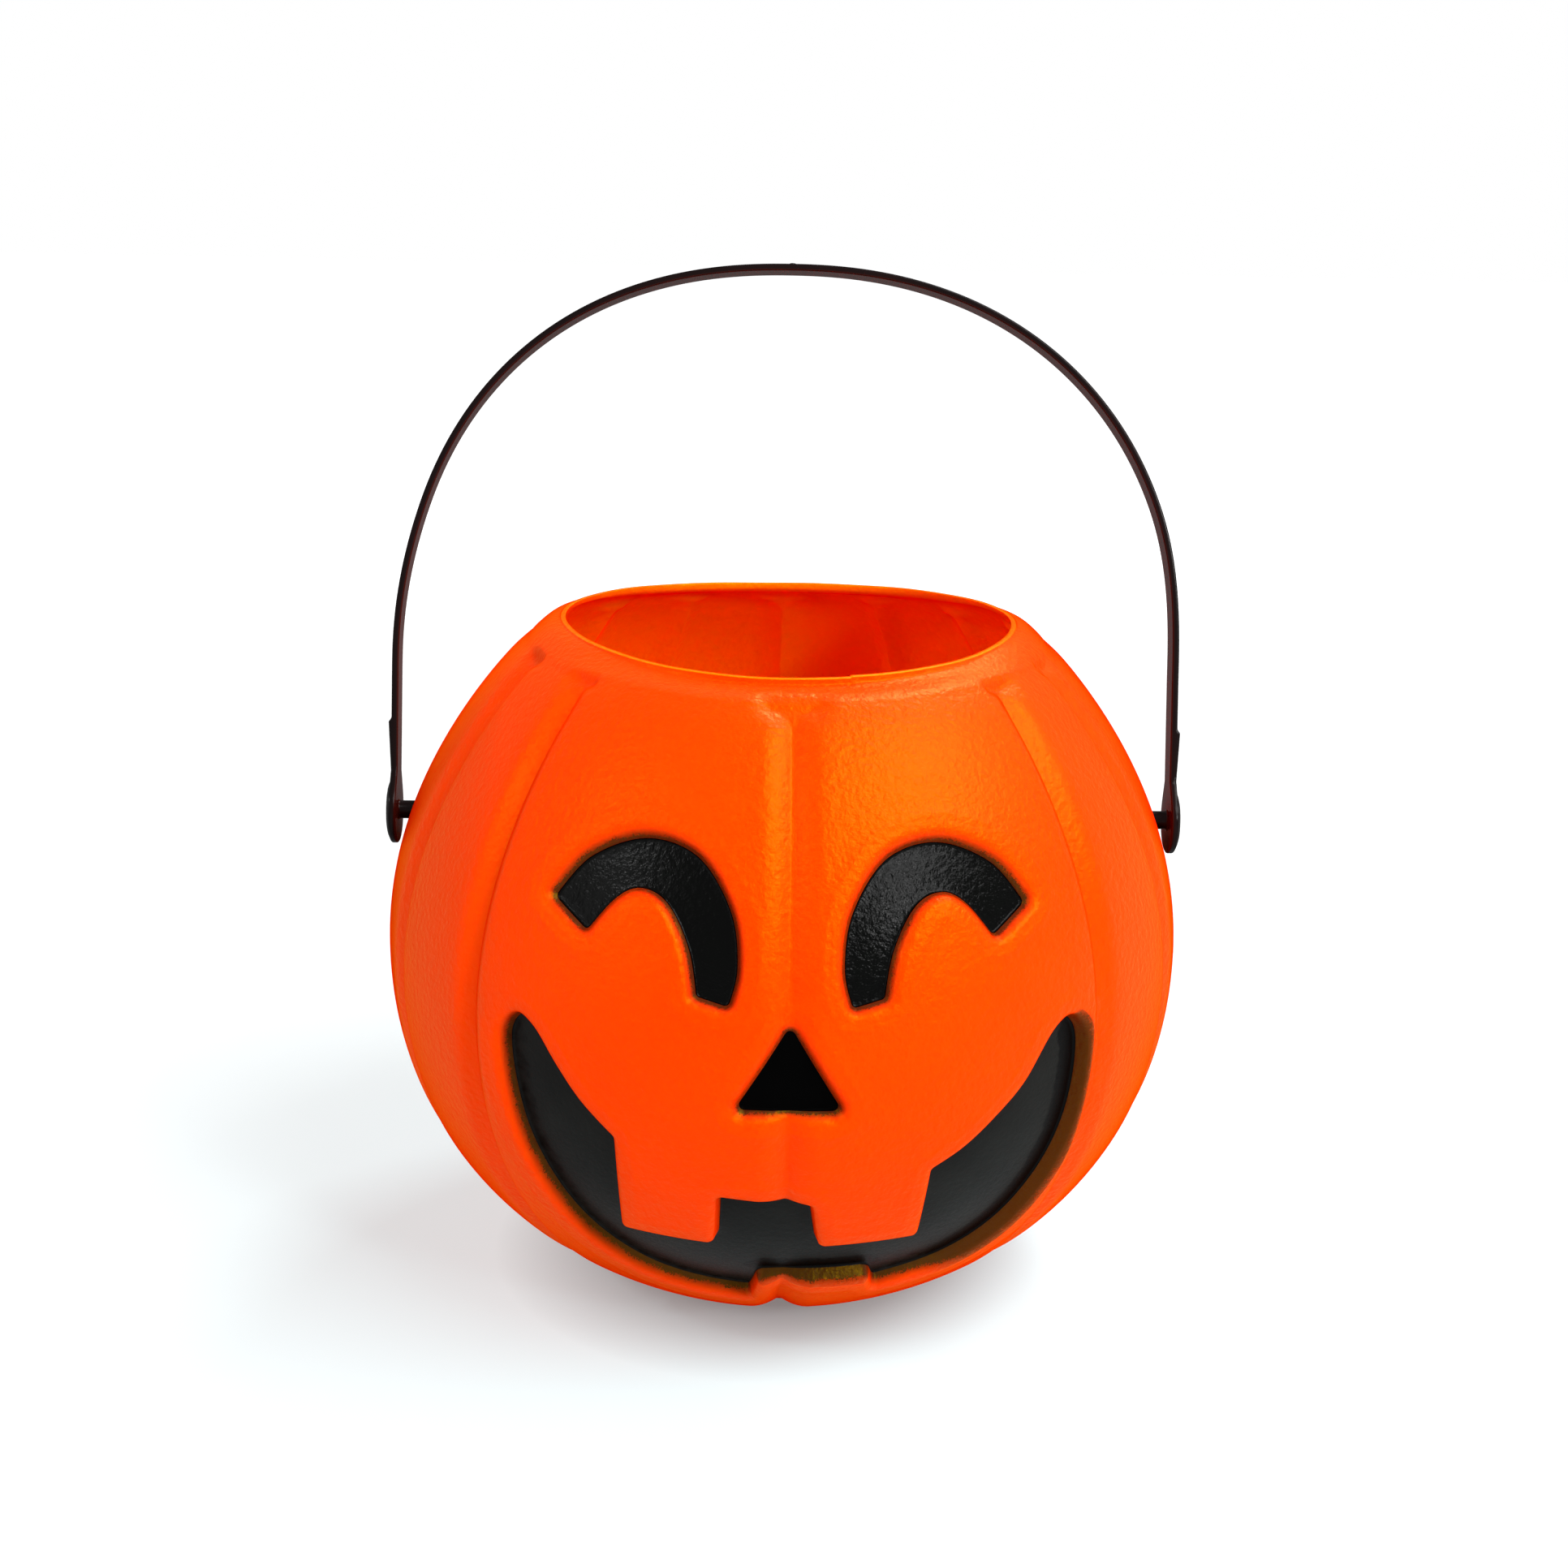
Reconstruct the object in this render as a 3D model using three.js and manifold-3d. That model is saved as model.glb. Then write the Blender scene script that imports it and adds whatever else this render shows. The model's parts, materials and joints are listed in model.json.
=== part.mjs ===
// Trick-or-treat bucket: a blow-moulded pumpkin with a sunk smiling face and a snap-in strap handle.
// Millimetres, +Z up. The origin is the centre of the base, and the face looks towards -Y.
import * as THREE from 'three';
import { mergeVertices } from 'three/addons/utils/BufferGeometryUtils.js';
import Module from 'manifold-3d';

const wasm = await Module();
wasm.setup();

// Bucket body, from the base up
const WALL = 1.3;
const PUSH_UP_RADIUS = 20;
const PUSH_UP_HEIGHT = 1.5;
const PUSH_UP_SLOPE = 2;
const BASE_RADIUS = 32;
const BELLY_RADIUS = 100;
const BELLY_HEIGHT = 89;
const CROWN_RISE = 76;
const CROWN_START_PULL = 41;
const COLLAR_RADIUS = 65.2;
const COLLAR_PULL = 5.6;
const COLLAR_SLOPE = THREE.MathUtils.degToRad(37);
const LEDGE_RISE = 1.8;
const NECK_HEIGHT = 2.4;
const RIM_RADIUS = 56.5;

// Grooves between the pumpkin's panels. The front pair at 22.5 degrees is left out for the face,
// and the side pair at 90 degrees for the handle's holes.
const GROOVE_ANGLES = [0, 47, 68, 112.5, 135, 157.5, 180, 202.5, 225, 247.5, 292, 313];
const GROOVE_DEPTH = 1.7;
const GROOVE_WIDTH = 9;
const GROOVE_RUN_OUT = 7;

// Depths of the sunk face below the panels, and the sprayed paint on its floors
const EYE_DEPTH = 3.3;
const NOSE_DEPTH = 3.5;
const MOUTH_DEPTH = 4.4;
const CORNER_RADIUS = 2;
const PAINT_THICKNESS = 0.4;
const PAINT_GAP = 0.3;

// Handle: a flat strap, bent to an arch, with a round pad and a snap stud at each end
const PIVOT_HEIGHT = 119.5;
const LEAN = THREE.MathUtils.degToRad(14);
const STRAP_WIDTH = 8;
const STRAP_THICKNESS = 1.7;
const ARCH_RISE = 139.8;
const LEG_LENGTH = 38;
const ARCH_POWER = 2.3;
const SHOULDER_TOP = 23;
const SHOULDER_BOTTOM = 10;
const SHOULDER_STEP = 0.7;
const GATE_RADIUS = 1.2;
const GATE_TIP_RADIUS = 0.85;
const GATE_HEIGHT = 0.7;
const PAD_RADIUS = 8.5;
const PAD_THICKNESS = 2.2;
const PAD_DOME = 0.6;
const PAD_GAP = 1.3;
const STUD_RADIUS = 2.3;
const STUD_CLEARANCE = 0.35;
const SNAP_RADIUS = 3.6;
const SNAP_LENGTH = 3.4;
const SNAP_COLLAR = 1.1;
const SNAP_TIP_RADIUS = 1.5;
const SNAP_GAP = 0.5;

// Facets: rings and steps that draw the round shapes
const BELLY_RINGS = 8;
const CROWN_RINGS = 8;
const PANEL_STEP = 9;
const LEDGE_RINGS = 4;
const EYE_OUTER_STEPS = 18;
const EYE_INNER_STEPS = 12;
const MOUTH_STEPS = 28;
const CORNER_STEPS = 3;
const ARCH_STEPS = 40;
const ROUND_STEPS = 24;
const DOME_RINGS = 3;
const GATE_STEPS = 12;

// An outline turning by more than this at a point has a corner there. Its rounding takes at most a
// share of each side, and a moved corner goes no further out than its offset over the mitre limit.
const SHARP_TURN = THREE.MathUtils.degToRad(32);
const CORNER_SHARE = 0.45;
const MITRE_LIMIT = 0.5;

// How far a cutting solid runs past what it cuts
const OVERSHOOT = 10;

const COLLAR_HEIGHT = BELLY_HEIGHT + CROWN_RISE;
const LEDGE_HEIGHT = COLLAR_HEIGHT + LEDGE_RISE;
const RIM_HEIGHT = LEDGE_HEIGHT + NECK_HEIGHT;

// The face's outlines, seen from the front: X, and the height above the belly's widest ring.
// The left eye mirrors the right one.
const EYE_OUTER = [
  [55.6, 33.9], [46.5, 44.6], [33, 50.4], [20.5, 47.6], [12.6, 36.5], [10.9, 24], [13.2, 14.3],
];
const EYE_INNER = [[22.2, 16.6], [24, 27], [28.5, 35.6], [34, 38], [39.5, 35], [46.2, 26.9]];
const NOSE = [[0, 14.5], [-14.6, -10], [14.6, -10]];
const MOUTH_LEFT = [
  [-39.1, -18.7], [-46.7, -11.1], [-52.4, -3.4], [-57.7, 4.4], [-62.3, 6.6], [-66, 0.5], [-64.9, -13],
  [-61.1, -27.8], [-53.7, -43], [-44.3, -55.1], [-32.1, -64.6], [-19.6, -69.2], [-7.3, -71.2],
];
const LOWER_TOOTH = [[-5.4, -61.6], [20.3, -61.4]];
const MOUTH_RIGHT = [
  [22, -67.8], [39.2, -62.3], [51.3, -53.8], [60.4, -41.8], [66.7, -28.2], [69.8, -13.6], [69.9, 0.2],
  [65.9, 6.5], [60.8, 4.1], [54.1, -6.7], [47.5, -13.9], [40.3, -20.5], [32.9, -25.3],
];
const UPPER_TEETH = [
  [30.9, -45.9], [8, -46.9], [6.2, -33.6], [-15.9, -31.6], [-16.3, -46.8], [-37.6, -45.8],
];

// Profile rings: radius, height and the share of the groove depth that the ring has

function ring(radius, height) {
  const belowCollar = (COLLAR_HEIGHT - height) / GROOVE_RUN_OUT;
  const aboveBase = height / GROOVE_RUN_OUT;
  const groove = THREE.MathUtils.clamp(Math.min(belowCollar, aboveBase), 0, 1);
  return { radius, height, groove };
}

function bellyRings() {
  const drop = BELLY_HEIGHT / Math.sqrt(1 - (BASE_RADIUS / BELLY_RADIUS) ** 2);
  const baseAngle = Math.acos(BASE_RADIUS / BELLY_RADIUS);
  const rings = [];
  for (let i = 0; i < BELLY_RINGS; i += 1) {
    const angle = baseAngle * (1 - i / BELLY_RINGS);
    rings.push(ring(BELLY_RADIUS * Math.cos(angle), BELLY_HEIGHT - drop * Math.sin(angle)));
  }
  return rings;
}

function crownRings() {
  const pullOut = COLLAR_PULL * Math.cos(COLLAR_SLOPE);
  const pullDown = COLLAR_PULL * Math.sin(COLLAR_SLOPE);
  const curve = new THREE.CubicBezierCurve(
    new THREE.Vector2(BELLY_RADIUS, BELLY_HEIGHT),
    new THREE.Vector2(BELLY_RADIUS, BELLY_HEIGHT + CROWN_START_PULL),
    new THREE.Vector2(COLLAR_RADIUS + pullOut, COLLAR_HEIGHT - pullDown),
    new THREE.Vector2(COLLAR_RADIUS, COLLAR_HEIGHT),
  );
  return curve.getPoints(CROWN_RINGS).map((point) => ring(point.x, point.y));
}

function collarRings() {
  const ledge = new THREE.CubicBezierCurve(
    new THREE.Vector2(COLLAR_RADIUS, COLLAR_HEIGHT),
    new THREE.Vector2(COLLAR_RADIUS - LEDGE_RISE, LEDGE_HEIGHT),
    new THREE.Vector2(RIM_RADIUS, COLLAR_HEIGHT + LEDGE_RISE / 2),
    new THREE.Vector2(RIM_RADIUS, LEDGE_HEIGHT + NECK_HEIGHT / 2),
  );
  const rings = ledge.getPoints(LEDGE_RINGS).slice(1).map((point) => ring(point.x, point.y));
  rings.push(ring(RIM_RADIUS, RIM_HEIGHT));
  return rings;
}

function baseRings() {
  return [
    ring(0, PUSH_UP_HEIGHT),
    ring(PUSH_UP_RADIUS - PUSH_UP_SLOPE, PUSH_UP_HEIGHT),
    ring(PUSH_UP_RADIUS, 0),
  ];
}

// Moves each ring of a profile inwards, square to the profile.
function inset(rings, distance) {
  return rings.map((here, index) => {
    const before = rings[Math.max(index - 1, 0)];
    const after = rings[Math.min(index + 1, rings.length - 1)];
    const along = new THREE.Vector2(after.radius - before.radius, after.height - before.height).normalize();
    const radius = here.radius === 0 ? 0 : here.radius - along.y * distance;
    return { radius, height: here.height + along.x * distance, groove: here.groove };
  });
}

// The radius of a profile at a height between its lowest and its highest ring
function radiusAt(rings, height) {
  const above = rings.findIndex((here) => here.height >= height);
  const low = rings[above - 1];
  const high = rings[above];
  return THREE.MathUtils.mapLinear(height, low.height, high.height, low.radius, high.radius);
}

// Stations round the body: three at each groove, and even steps across each panel
function bodyStations() {
  const halfGroove = THREE.MathUtils.radToDeg(Math.asin(GROOVE_WIDTH / 2 / BELLY_RADIUS));
  const stations = [];
  GROOVE_ANGLES.forEach((angle, index) => {
    const next = index + 1 < GROOVE_ANGLES.length ? GROOVE_ANGLES[index + 1] : 360;
    const panel = next - angle - 2 * halfGroove;
    const steps = Math.ceil(panel / PANEL_STEP);
    stations.push({ angle, groove: 1 });
    for (let i = 0; i <= steps; i += 1) {
      stations.push({ angle: angle + halfGroove + (panel * i) / steps, groove: 0 });
    }
  });
  return stations;
}

const STATIONS = bodyStations();

// Solid tools

function solid(geometry) {
  const bare = new THREE.BufferGeometry();
  bare.setAttribute('position', geometry.getAttribute('position'));
  bare.setIndex(geometry.getIndex());
  const merged = mergeVertices(bare, 1e-4);
  return new wasm.Manifold(new wasm.Mesh({
    numProp: 3,
    vertProperties: new Float32Array(merged.getAttribute('position').array),
    triVerts: new Uint32Array(merged.getIndex().array),
  }));
}

function geometryOf(manifold) {
  const { vertProperties, triVerts } = manifold.getMesh();
  const geometry = new THREE.BufferGeometry();
  geometry.setAttribute('position', new THREE.BufferAttribute(vertProperties, 3));
  geometry.setIndex(new THREE.BufferAttribute(triVerts, 1));
  geometry.computeVertexNormals();
  return geometry;
}

function join(solids) {
  return solids.reduce((whole, next) => whole.add(next));
}

// A solid of rings from the lower pole to the upper one. Its first and last ring have no radius.
function ringSolid(rings) {
  const count = STATIONS.length;
  const positions = [0, 0, rings[0].height];
  rings.slice(1, -1).forEach(({ radius, height, groove }) => {
    STATIONS.forEach((station) => {
      const turn = THREE.MathUtils.degToRad(station.angle);
      const reach = radius - GROOVE_DEPTH * groove * station.groove;
      positions.push(reach * Math.sin(turn), -reach * Math.cos(turn), height);
    });
  });
  positions.push(0, 0, rings.at(-1).height);

  const top = positions.length / 3 - 1;
  const triangles = [];
  for (let j = 0; j < count; j += 1) {
    const next = (j + 1) % count;
    triangles.push(0, 1 + next, 1 + j);
    triangles.push(top, top - count + j, top - count + next);
    for (let i = 0; i < rings.length - 3; i += 1) {
      const low = 1 + i * count;
      const high = low + count;
      triangles.push(low + j, low + next, high + next);
      triangles.push(low + j, high + next, high + j);
    }
  }
  const geometry = new THREE.BufferGeometry();
  geometry.setAttribute('position', new THREE.Float32BufferAttribute(positions, 3));
  geometry.setIndex(triangles);
  return solid(geometry);
}

// The face's outlines

function spline(points, steps) {
  const curve = new THREE.SplineCurve(points.map(([x, height]) => new THREE.Vector2(x, height)));
  return curve.getPoints(steps);
}

function corners(points) {
  return points.map(([x, height]) => new THREE.Vector2(x, height));
}

// Replaces each sharp corner of a closed outline with a short curve.
function roundCorners(points, radius) {
  return points.flatMap((point, index) => {
    const before = points.at(index - 1);
    const after = points[(index + 1) % points.length];
    const toBefore = before.clone().sub(point);
    const toAfter = after.clone().sub(point);
    const turn = Math.PI - toBefore.angleTo(toAfter);
    if (turn < SHARP_TURN) return [point];
    const reach = radius * Math.tan(turn / 2);
    const cut = Math.min(reach, CORNER_SHARE * toBefore.length(), CORNER_SHARE * toAfter.length());
    const start = point.clone().addScaledVector(toBefore.normalize(), cut);
    const end = point.clone().addScaledVector(toAfter.normalize(), cut);
    return new THREE.QuadraticBezierCurve(start, point, end).getPoints(CORNER_STEPS);
  });
}

// Moves a closed anticlockwise outline outwards, or inwards where the distance is negative.
function offsetOutline(points, distance) {
  return points.map((point, index) => {
    const into = point.clone().sub(points.at(index - 1)).normalize();
    const out = points[(index + 1) % points.length].clone().sub(point).normalize();
    const along = into.clone().add(out).normalize();
    const reach = distance / Math.max(along.dot(into), MITRE_LIMIT);
    return new THREE.Vector2(point.x + along.y * reach, point.y - along.x * reach);
  });
}

function anticlockwise(points) {
  return THREE.ShapeUtils.isClockWise(points) ? points.reverse() : points;
}

function eyeOutline() {
  const outline = [...spline(EYE_OUTER, EYE_OUTER_STEPS), ...spline(EYE_INNER, EYE_INNER_STEPS)];
  return anticlockwise(roundCorners(outline, CORNER_RADIUS));
}

function mirrored(outline) {
  return anticlockwise(outline.map((point) => new THREE.Vector2(-point.x, point.y)));
}

function noseOutline() {
  return anticlockwise(roundCorners(corners(NOSE), CORNER_RADIUS));
}

function mouthOutline() {
  const outline = [
    ...spline(MOUTH_LEFT, MOUTH_STEPS),
    ...corners(LOWER_TOOTH),
    ...spline(MOUTH_RIGHT, MOUTH_STEPS),
    ...corners(UPPER_TEETH),
  ];
  return anticlockwise(roundCorners(outline, CORNER_RADIUS));
}

// A prism of the outline that runs from inside the body out through its front.
function frontPrism(outline) {
  const depth = BELLY_RADIUS + OVERSHOOT - BASE_RADIUS;
  const shape = new THREE.Shape(outline);
  const geometry = new THREE.ExtrudeGeometry(shape, { depth, bevelEnabled: false });
  geometry.rotateX(Math.PI / 2);
  geometry.translate(0, -BASE_RADIUS, BELLY_HEIGHT);
  return solid(geometry);
}

// Bucket shell

const BELLY_AND_CROWN = [...bellyRings(), ...crownRings()];

// The body without grooves, base and collar, inset by a distance: the floors of the face lie on it.
function floorSolid(distance) {
  const rings = inset(BELLY_AND_CROWN, distance).map((here) => ({ ...here, groove: 0 }));
  return ringSolid([ring(0, rings[0].height), ...rings, ring(0, rings.at(-1).height)]);
}

function studHole(side) {
  const radius = STUD_RADIUS + STUD_CLEARANCE;
  const geometry = new THREE.CylinderGeometry(radius, radius, 2 * OVERSHOOT, ROUND_STEPS);
  geometry.rotateZ(Math.PI / 2);
  geometry.translate(side * radiusAt(BELLY_AND_CROWN, PIVOT_HEIGHT), 0, PIVOT_HEIGHT);
  return solid(geometry);
}

function bucketShell(features) {
  const profile = [...baseRings(), ...BELLY_AND_CROWN, ...collarRings()];
  const lining = inset(profile, WALL);
  const mouthRadius = RIM_RADIUS - WALL;
  const top = RIM_HEIGHT + OVERSHOOT;

  let cavity = ringSolid([...lining.slice(0, -1), ring(mouthRadius, top), ring(0, top)]);
  let body = ringSolid([...profile, ring(0, RIM_HEIGHT)]);
  features.forEach(({ outline, depth }) => {
    const pocket = frontPrism(outline).subtract(floorSolid(depth));
    const bulge = frontPrism(offsetOutline(outline, WALL)).subtract(floorSolid(depth + WALL));
    cavity = cavity.subtract(bulge);
    body = body.subtract(pocket);
  });
  const shell = body.subtract(cavity);
  return [-1, 1].reduce((cut, side) => cut.subtract(studHole(side)), shell);
}

// Paint: a thin layer that follows the floor and stops just short of the walls

function paintLayer({ outline, depth }) {
  const prism = frontPrism(offsetOutline(outline, -PAINT_GAP));
  const under = floorSolid(depth - PAINT_GAP);
  const over = floorSolid(depth - PAINT_GAP - PAINT_THICKNESS);
  return prism.intersect(over).subtract(under);
}

// Handle, drawn upright with the stud's axis as its X axis

const PAD_FACE = radiusAt(BELLY_AND_CROWN, PIVOT_HEIGHT - PAD_RADIUS) + PAD_GAP;
const LINING_AT_HEAD = radiusAt(inset(BELLY_AND_CROWN, WALL), PIVOT_HEIGHT + SNAP_RADIUS);

function strap() {
  const halfWidth = PAD_FACE + STRAP_THICKNESS;
  const archHeight = ARCH_RISE - LEG_LENGTH;
  const outer = [new THREE.Vector2(halfWidth, 0)];
  for (let i = 0; i <= ARCH_STEPS; i += 1) {
    const turn = (Math.PI * i) / ARCH_STEPS;
    const across = Math.abs(Math.cos(turn)) ** (2 / ARCH_POWER) * Math.sign(Math.cos(turn));
    const up = Math.abs(Math.sin(turn)) ** (2 / ARCH_POWER);
    outer.push(new THREE.Vector2(halfWidth * across, LEG_LENGTH + archHeight * up));
  }
  outer.push(new THREE.Vector2(-halfWidth, 0));

  const inner = outer.map((point, index) => {
    const before = outer[Math.max(index - 1, 0)];
    const after = outer[Math.min(index + 1, outer.length - 1)];
    const along = after.clone().sub(before).normalize();
    return new THREE.Vector2(point.x - along.y * STRAP_THICKNESS, point.y + along.x * STRAP_THICKNESS);
  });
  const stepRight = [
    new THREE.Vector2(halfWidth, SHOULDER_BOTTOM),
    new THREE.Vector2(halfWidth + SHOULDER_STEP, SHOULDER_TOP - SHOULDER_STEP),
    new THREE.Vector2(halfWidth, SHOULDER_TOP),
  ];
  const stepLeft = stepRight.map((point) => new THREE.Vector2(-point.x, point.y)).reverse();
  outer.splice(-1, 0, ...stepLeft);
  outer.splice(1, 0, ...stepRight);

  const shape = new THREE.Shape([...outer, ...inner.reverse()]);
  const geometry = new THREE.ExtrudeGeometry(shape, { depth: STRAP_WIDTH, bevelEnabled: false });
  geometry.rotateX(Math.PI / 2);
  geometry.translate(0, STRAP_WIDTH / 2, 0);
  return solid(geometry);
}

// The strap widens to the round pad along straight tangents.
function pad() {
  const outline = [];
  const neck = new THREE.Vector2(STRAP_WIDTH / 2, SHOULDER_BOTTOM);
  const reach = neck.length();
  const tangent = Math.atan2(neck.y, neck.x) - Math.acos(PAD_RADIUS / reach);
  outline.push(new THREE.Vector2(-neck.x, neck.y), neck);
  for (let i = 0; i <= ROUND_STEPS; i += 1) {
    const turn = tangent - ((Math.PI + 2 * tangent) * i) / ROUND_STEPS;
    outline.push(new THREE.Vector2(PAD_RADIUS * Math.cos(turn), PAD_RADIUS * Math.sin(turn)));
  }
  const geometry = new THREE.ExtrudeGeometry(new THREE.Shape(outline.reverse()), {
    depth: PAD_THICKNESS, bevelEnabled: false,
  });
  geometry.rotateX(Math.PI / 2);
  geometry.rotateZ(Math.PI / 2);
  geometry.translate(PAD_FACE, 0, 0);
  return solid(geometry);
}

// The dome on the pad's outside, the stud and its snap head are turned about the stud's axis.
function turnedEnd() {
  const headBack = LINING_AT_HEAD - SNAP_GAP;
  const profile = [
    [0, headBack - SNAP_LENGTH],
    [SNAP_TIP_RADIUS, headBack - SNAP_LENGTH],
    [SNAP_RADIUS, headBack - SNAP_COLLAR],
    [SNAP_RADIUS, headBack],
    [STUD_RADIUS, headBack],
    [STUD_RADIUS, PAD_FACE],
    [PAD_RADIUS, PAD_FACE],
  ];
  for (let i = 0; i <= DOME_RINGS; i += 1) {
    const share = 1 - i / DOME_RINGS;
    profile.push([PAD_RADIUS * share, PAD_FACE + PAD_THICKNESS + PAD_DOME * (1 - share ** 2)]);
  }
  const points = profile.map(([radius, along]) => new THREE.Vector2(radius, along));
  const geometry = new THREE.LatheGeometry(points, ROUND_STEPS);
  geometry.rotateZ(-Math.PI / 2);
  return solid(geometry);
}

function gateMark() {
  const height = GATE_HEIGHT + STRAP_THICKNESS / 2;
  const geometry = new THREE.CylinderGeometry(GATE_TIP_RADIUS, GATE_RADIUS, height, GATE_STEPS);
  geometry.rotateX(Math.PI / 2);
  geometry.translate(0, 0, ARCH_RISE - STRAP_THICKNESS / 2 + height / 2);
  return solid(geometry);
}

function handle() {
  const end = pad().add(turnedEnd());
  return join([strap(), end, end.mirror([1, 0, 0]), gateMark()]);
}

// Materials

const orangePlastic = { color: new THREE.Color(1.0, 0.19, 0.0), roughness: 0.38, metalness: 0 };
const blackPlastic = { color: new THREE.Color(0.02, 0.014, 0.013), roughness: 0.3, metalness: 0 };
const blackPaint = { color: new THREE.Color(0.012, 0.012, 0.012), roughness: 0.42, metalness: 0 };

function named(name, manifold, look) {
  const mesh = new THREE.Mesh(geometryOf(manifold), new THREE.MeshStandardMaterial(look));
  mesh.name = name;
  return mesh;
}

// Assembly

const eye = eyeOutline();
const FEATURES = {
  eye_left: { outline: mirrored(eye), depth: EYE_DEPTH },
  eye_right: { outline: eye, depth: EYE_DEPTH },
  nose: { outline: noseOutline(), depth: NOSE_DEPTH },
  mouth: { outline: mouthOutline(), depth: MOUTH_DEPTH },
};

const bucket = new THREE.Group();
bucket.add(named('bucket_shell', bucketShell(Object.values(FEATURES)), orangePlastic));
Object.entries(FEATURES).forEach(([name, feature]) => {
  bucket.add(named(`${name}_paint`, paintLayer(feature), blackPaint));
});

const swing = new THREE.Group();
swing.position.set(0, 0, PIVOT_HEIGHT);
swing.rotation.x = -LEAN;
swing.add(named('handle', handle(), blackPlastic));

const group = new THREE.Group();
group.add(bucket, swing);

export default group;
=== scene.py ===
"""Trick-or-treat bucket: a blow-moulded pumpkin with a sunk, sprayed face and a snap-in strap handle."""
import json
import math

import bmesh
import bpy
import numpy as np
from mathutils import Matrix, Vector
from mathutils.geometry import delaunay_2d_cdt


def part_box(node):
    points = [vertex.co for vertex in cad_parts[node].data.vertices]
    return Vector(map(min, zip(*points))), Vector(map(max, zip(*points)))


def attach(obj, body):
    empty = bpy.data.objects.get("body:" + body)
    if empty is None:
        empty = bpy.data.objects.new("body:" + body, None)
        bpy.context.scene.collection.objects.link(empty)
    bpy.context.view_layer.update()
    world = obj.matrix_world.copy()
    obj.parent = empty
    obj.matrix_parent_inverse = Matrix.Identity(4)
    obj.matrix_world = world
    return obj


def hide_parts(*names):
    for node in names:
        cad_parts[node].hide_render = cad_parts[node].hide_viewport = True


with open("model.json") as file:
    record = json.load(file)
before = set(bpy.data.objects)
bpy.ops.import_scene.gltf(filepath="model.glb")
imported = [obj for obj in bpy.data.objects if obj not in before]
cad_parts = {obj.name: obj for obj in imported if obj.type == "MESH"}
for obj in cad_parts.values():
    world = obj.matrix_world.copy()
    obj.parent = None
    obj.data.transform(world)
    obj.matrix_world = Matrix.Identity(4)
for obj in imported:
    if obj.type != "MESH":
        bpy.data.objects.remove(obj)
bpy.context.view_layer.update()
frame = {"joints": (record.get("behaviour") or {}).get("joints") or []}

# Lengths are in millimetres, in the frame of the CAD model: the face looks towards -Y.
MM = 0.001
MERGE_DISTANCE = 0.002 * MM
SHELL_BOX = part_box("bucket_shell")
HINGE = frame["joints"][0]

# Bucket body, from the base up
WALL = 1.3
PUSH_UP_RADIUS = 20
PUSH_UP_HEIGHT = 1.5
PUSH_UP_SLOPE = 2
BASE_RADIUS = 32
BASE_FILLET = 2
BELLY_RADIUS = 100
BELLY_HEIGHT = 89
CROWN_RISE = 76
CROWN_START_PULL = 41
COLLAR_RADIUS = 65.2
COLLAR_PULL = 5.6
COLLAR_SLOPE = math.radians(37)
LEDGE_RISE = 1.8
NECK_HEIGHT = 2.4
RIM_RADIUS = 56.5
RIM_ROUND = 0.3
RIM_HEIGHT = SHELL_BOX[1].z / MM
COLLAR_HEIGHT = BELLY_HEIGHT + CROWN_RISE
LEDGE_HEIGHT = COLLAR_HEIGHT + LEDGE_RISE

# The crown is fuller at the sides, where its top is a ledge that is level with the rim.
SIDE_LEDGE_RADIUS = 57.4
SIDE_LEDGE_HEIGHT = 170.7
SIDE_RIM_HEIGHT = 171.2
SIDE_SLOPE_IN = 2.8
SIDE_SLOPE_UP = 2.6
SIDE_SLOPE_OUT = 2.4
BOWL_FULLNESS = 1.4

# The trimmed rim is lower at the front and the back, and has a small step where the cutter stopped.
RIM_SADDLE = 0.6
NICK_ANGLE = 13.6
NICK_LENGTH = 36
NICK_HEIGHT = 0.3
TRIM_WAVES = [(0.07, 5, 1), (0.04, 13, 0)]

# Grooves between the pumpkin's panels, and the moulding seam that runs down the front and the back
GROOVE_ANGLES = [0, 47, 69, 112.5, 135, 157.5, 180, 202.5, 225, 247.5, 291, 313]
MIDDLE_DEPTH = 2.7
SIDE_DEPTH = 2.3
GROOVE_TOP_SHARE = 0.7
GROOVE_TOP_REACH = 9
MIDDLE_FADE_UP = 4.5
SIDE_FADE_UP = 2.2
GROOVE_RUN_OUT = 3
SEAM_FADE_UP = 12
GROOVE_CURVE = 2
VALLEY_ROUND = 0.3
MIDDLE_SIDE = 7.6
STEEP_SIDE = 4.4
WIDE_SIDE = 10.5
MIDDLE_CORNER = 7
SIDE_CORNER = 3
CORNER_REACH = 0.7
CORNER_FADE = 0.6
PANEL_STEP_DOWN = 0.2
PANEL_STEP_WIDTH = 7
SEAM_HEIGHT = 0.13
SEAM_WIDTH = 0.28
WAVE_HEIGHT = 0.1

# Sunk face: a rounded lip, a wall with a little draft, a fillet and the floor
LIP_WIDTH = 2.6
LIP_DROP = 1.05
LIP_CURVE = 3.2
SWELL_HEIGHT = 0.16
SWELL_DISTANCE = 4
SWELL_WIDTH = 0.75
FILLET_DROP = 0.55
LINING_SLOPE = 3.5
LINING_GROOVE_SHARE = 0.9
LINING_ANGLE = 65
PAINT_LIFT = 0.07
PAINT_SINK = 0.05
# These amounts darken the sunk walls, for the paint's overspray and for painted shade, and set painted
# shade on the film beside them.
EYE_DUST_AND_SHADE = 0.42
NOSE_DUST_AND_SHADE = 0.35
RIM_DUST_AND_SHADE = 0.42
TOOTH_DUST_AND_SHADE = 0.75
SIDE_DUST_AND_SHADE_START = 15
SIDE_DUST_AND_SHADE_RUN = 20
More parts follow.
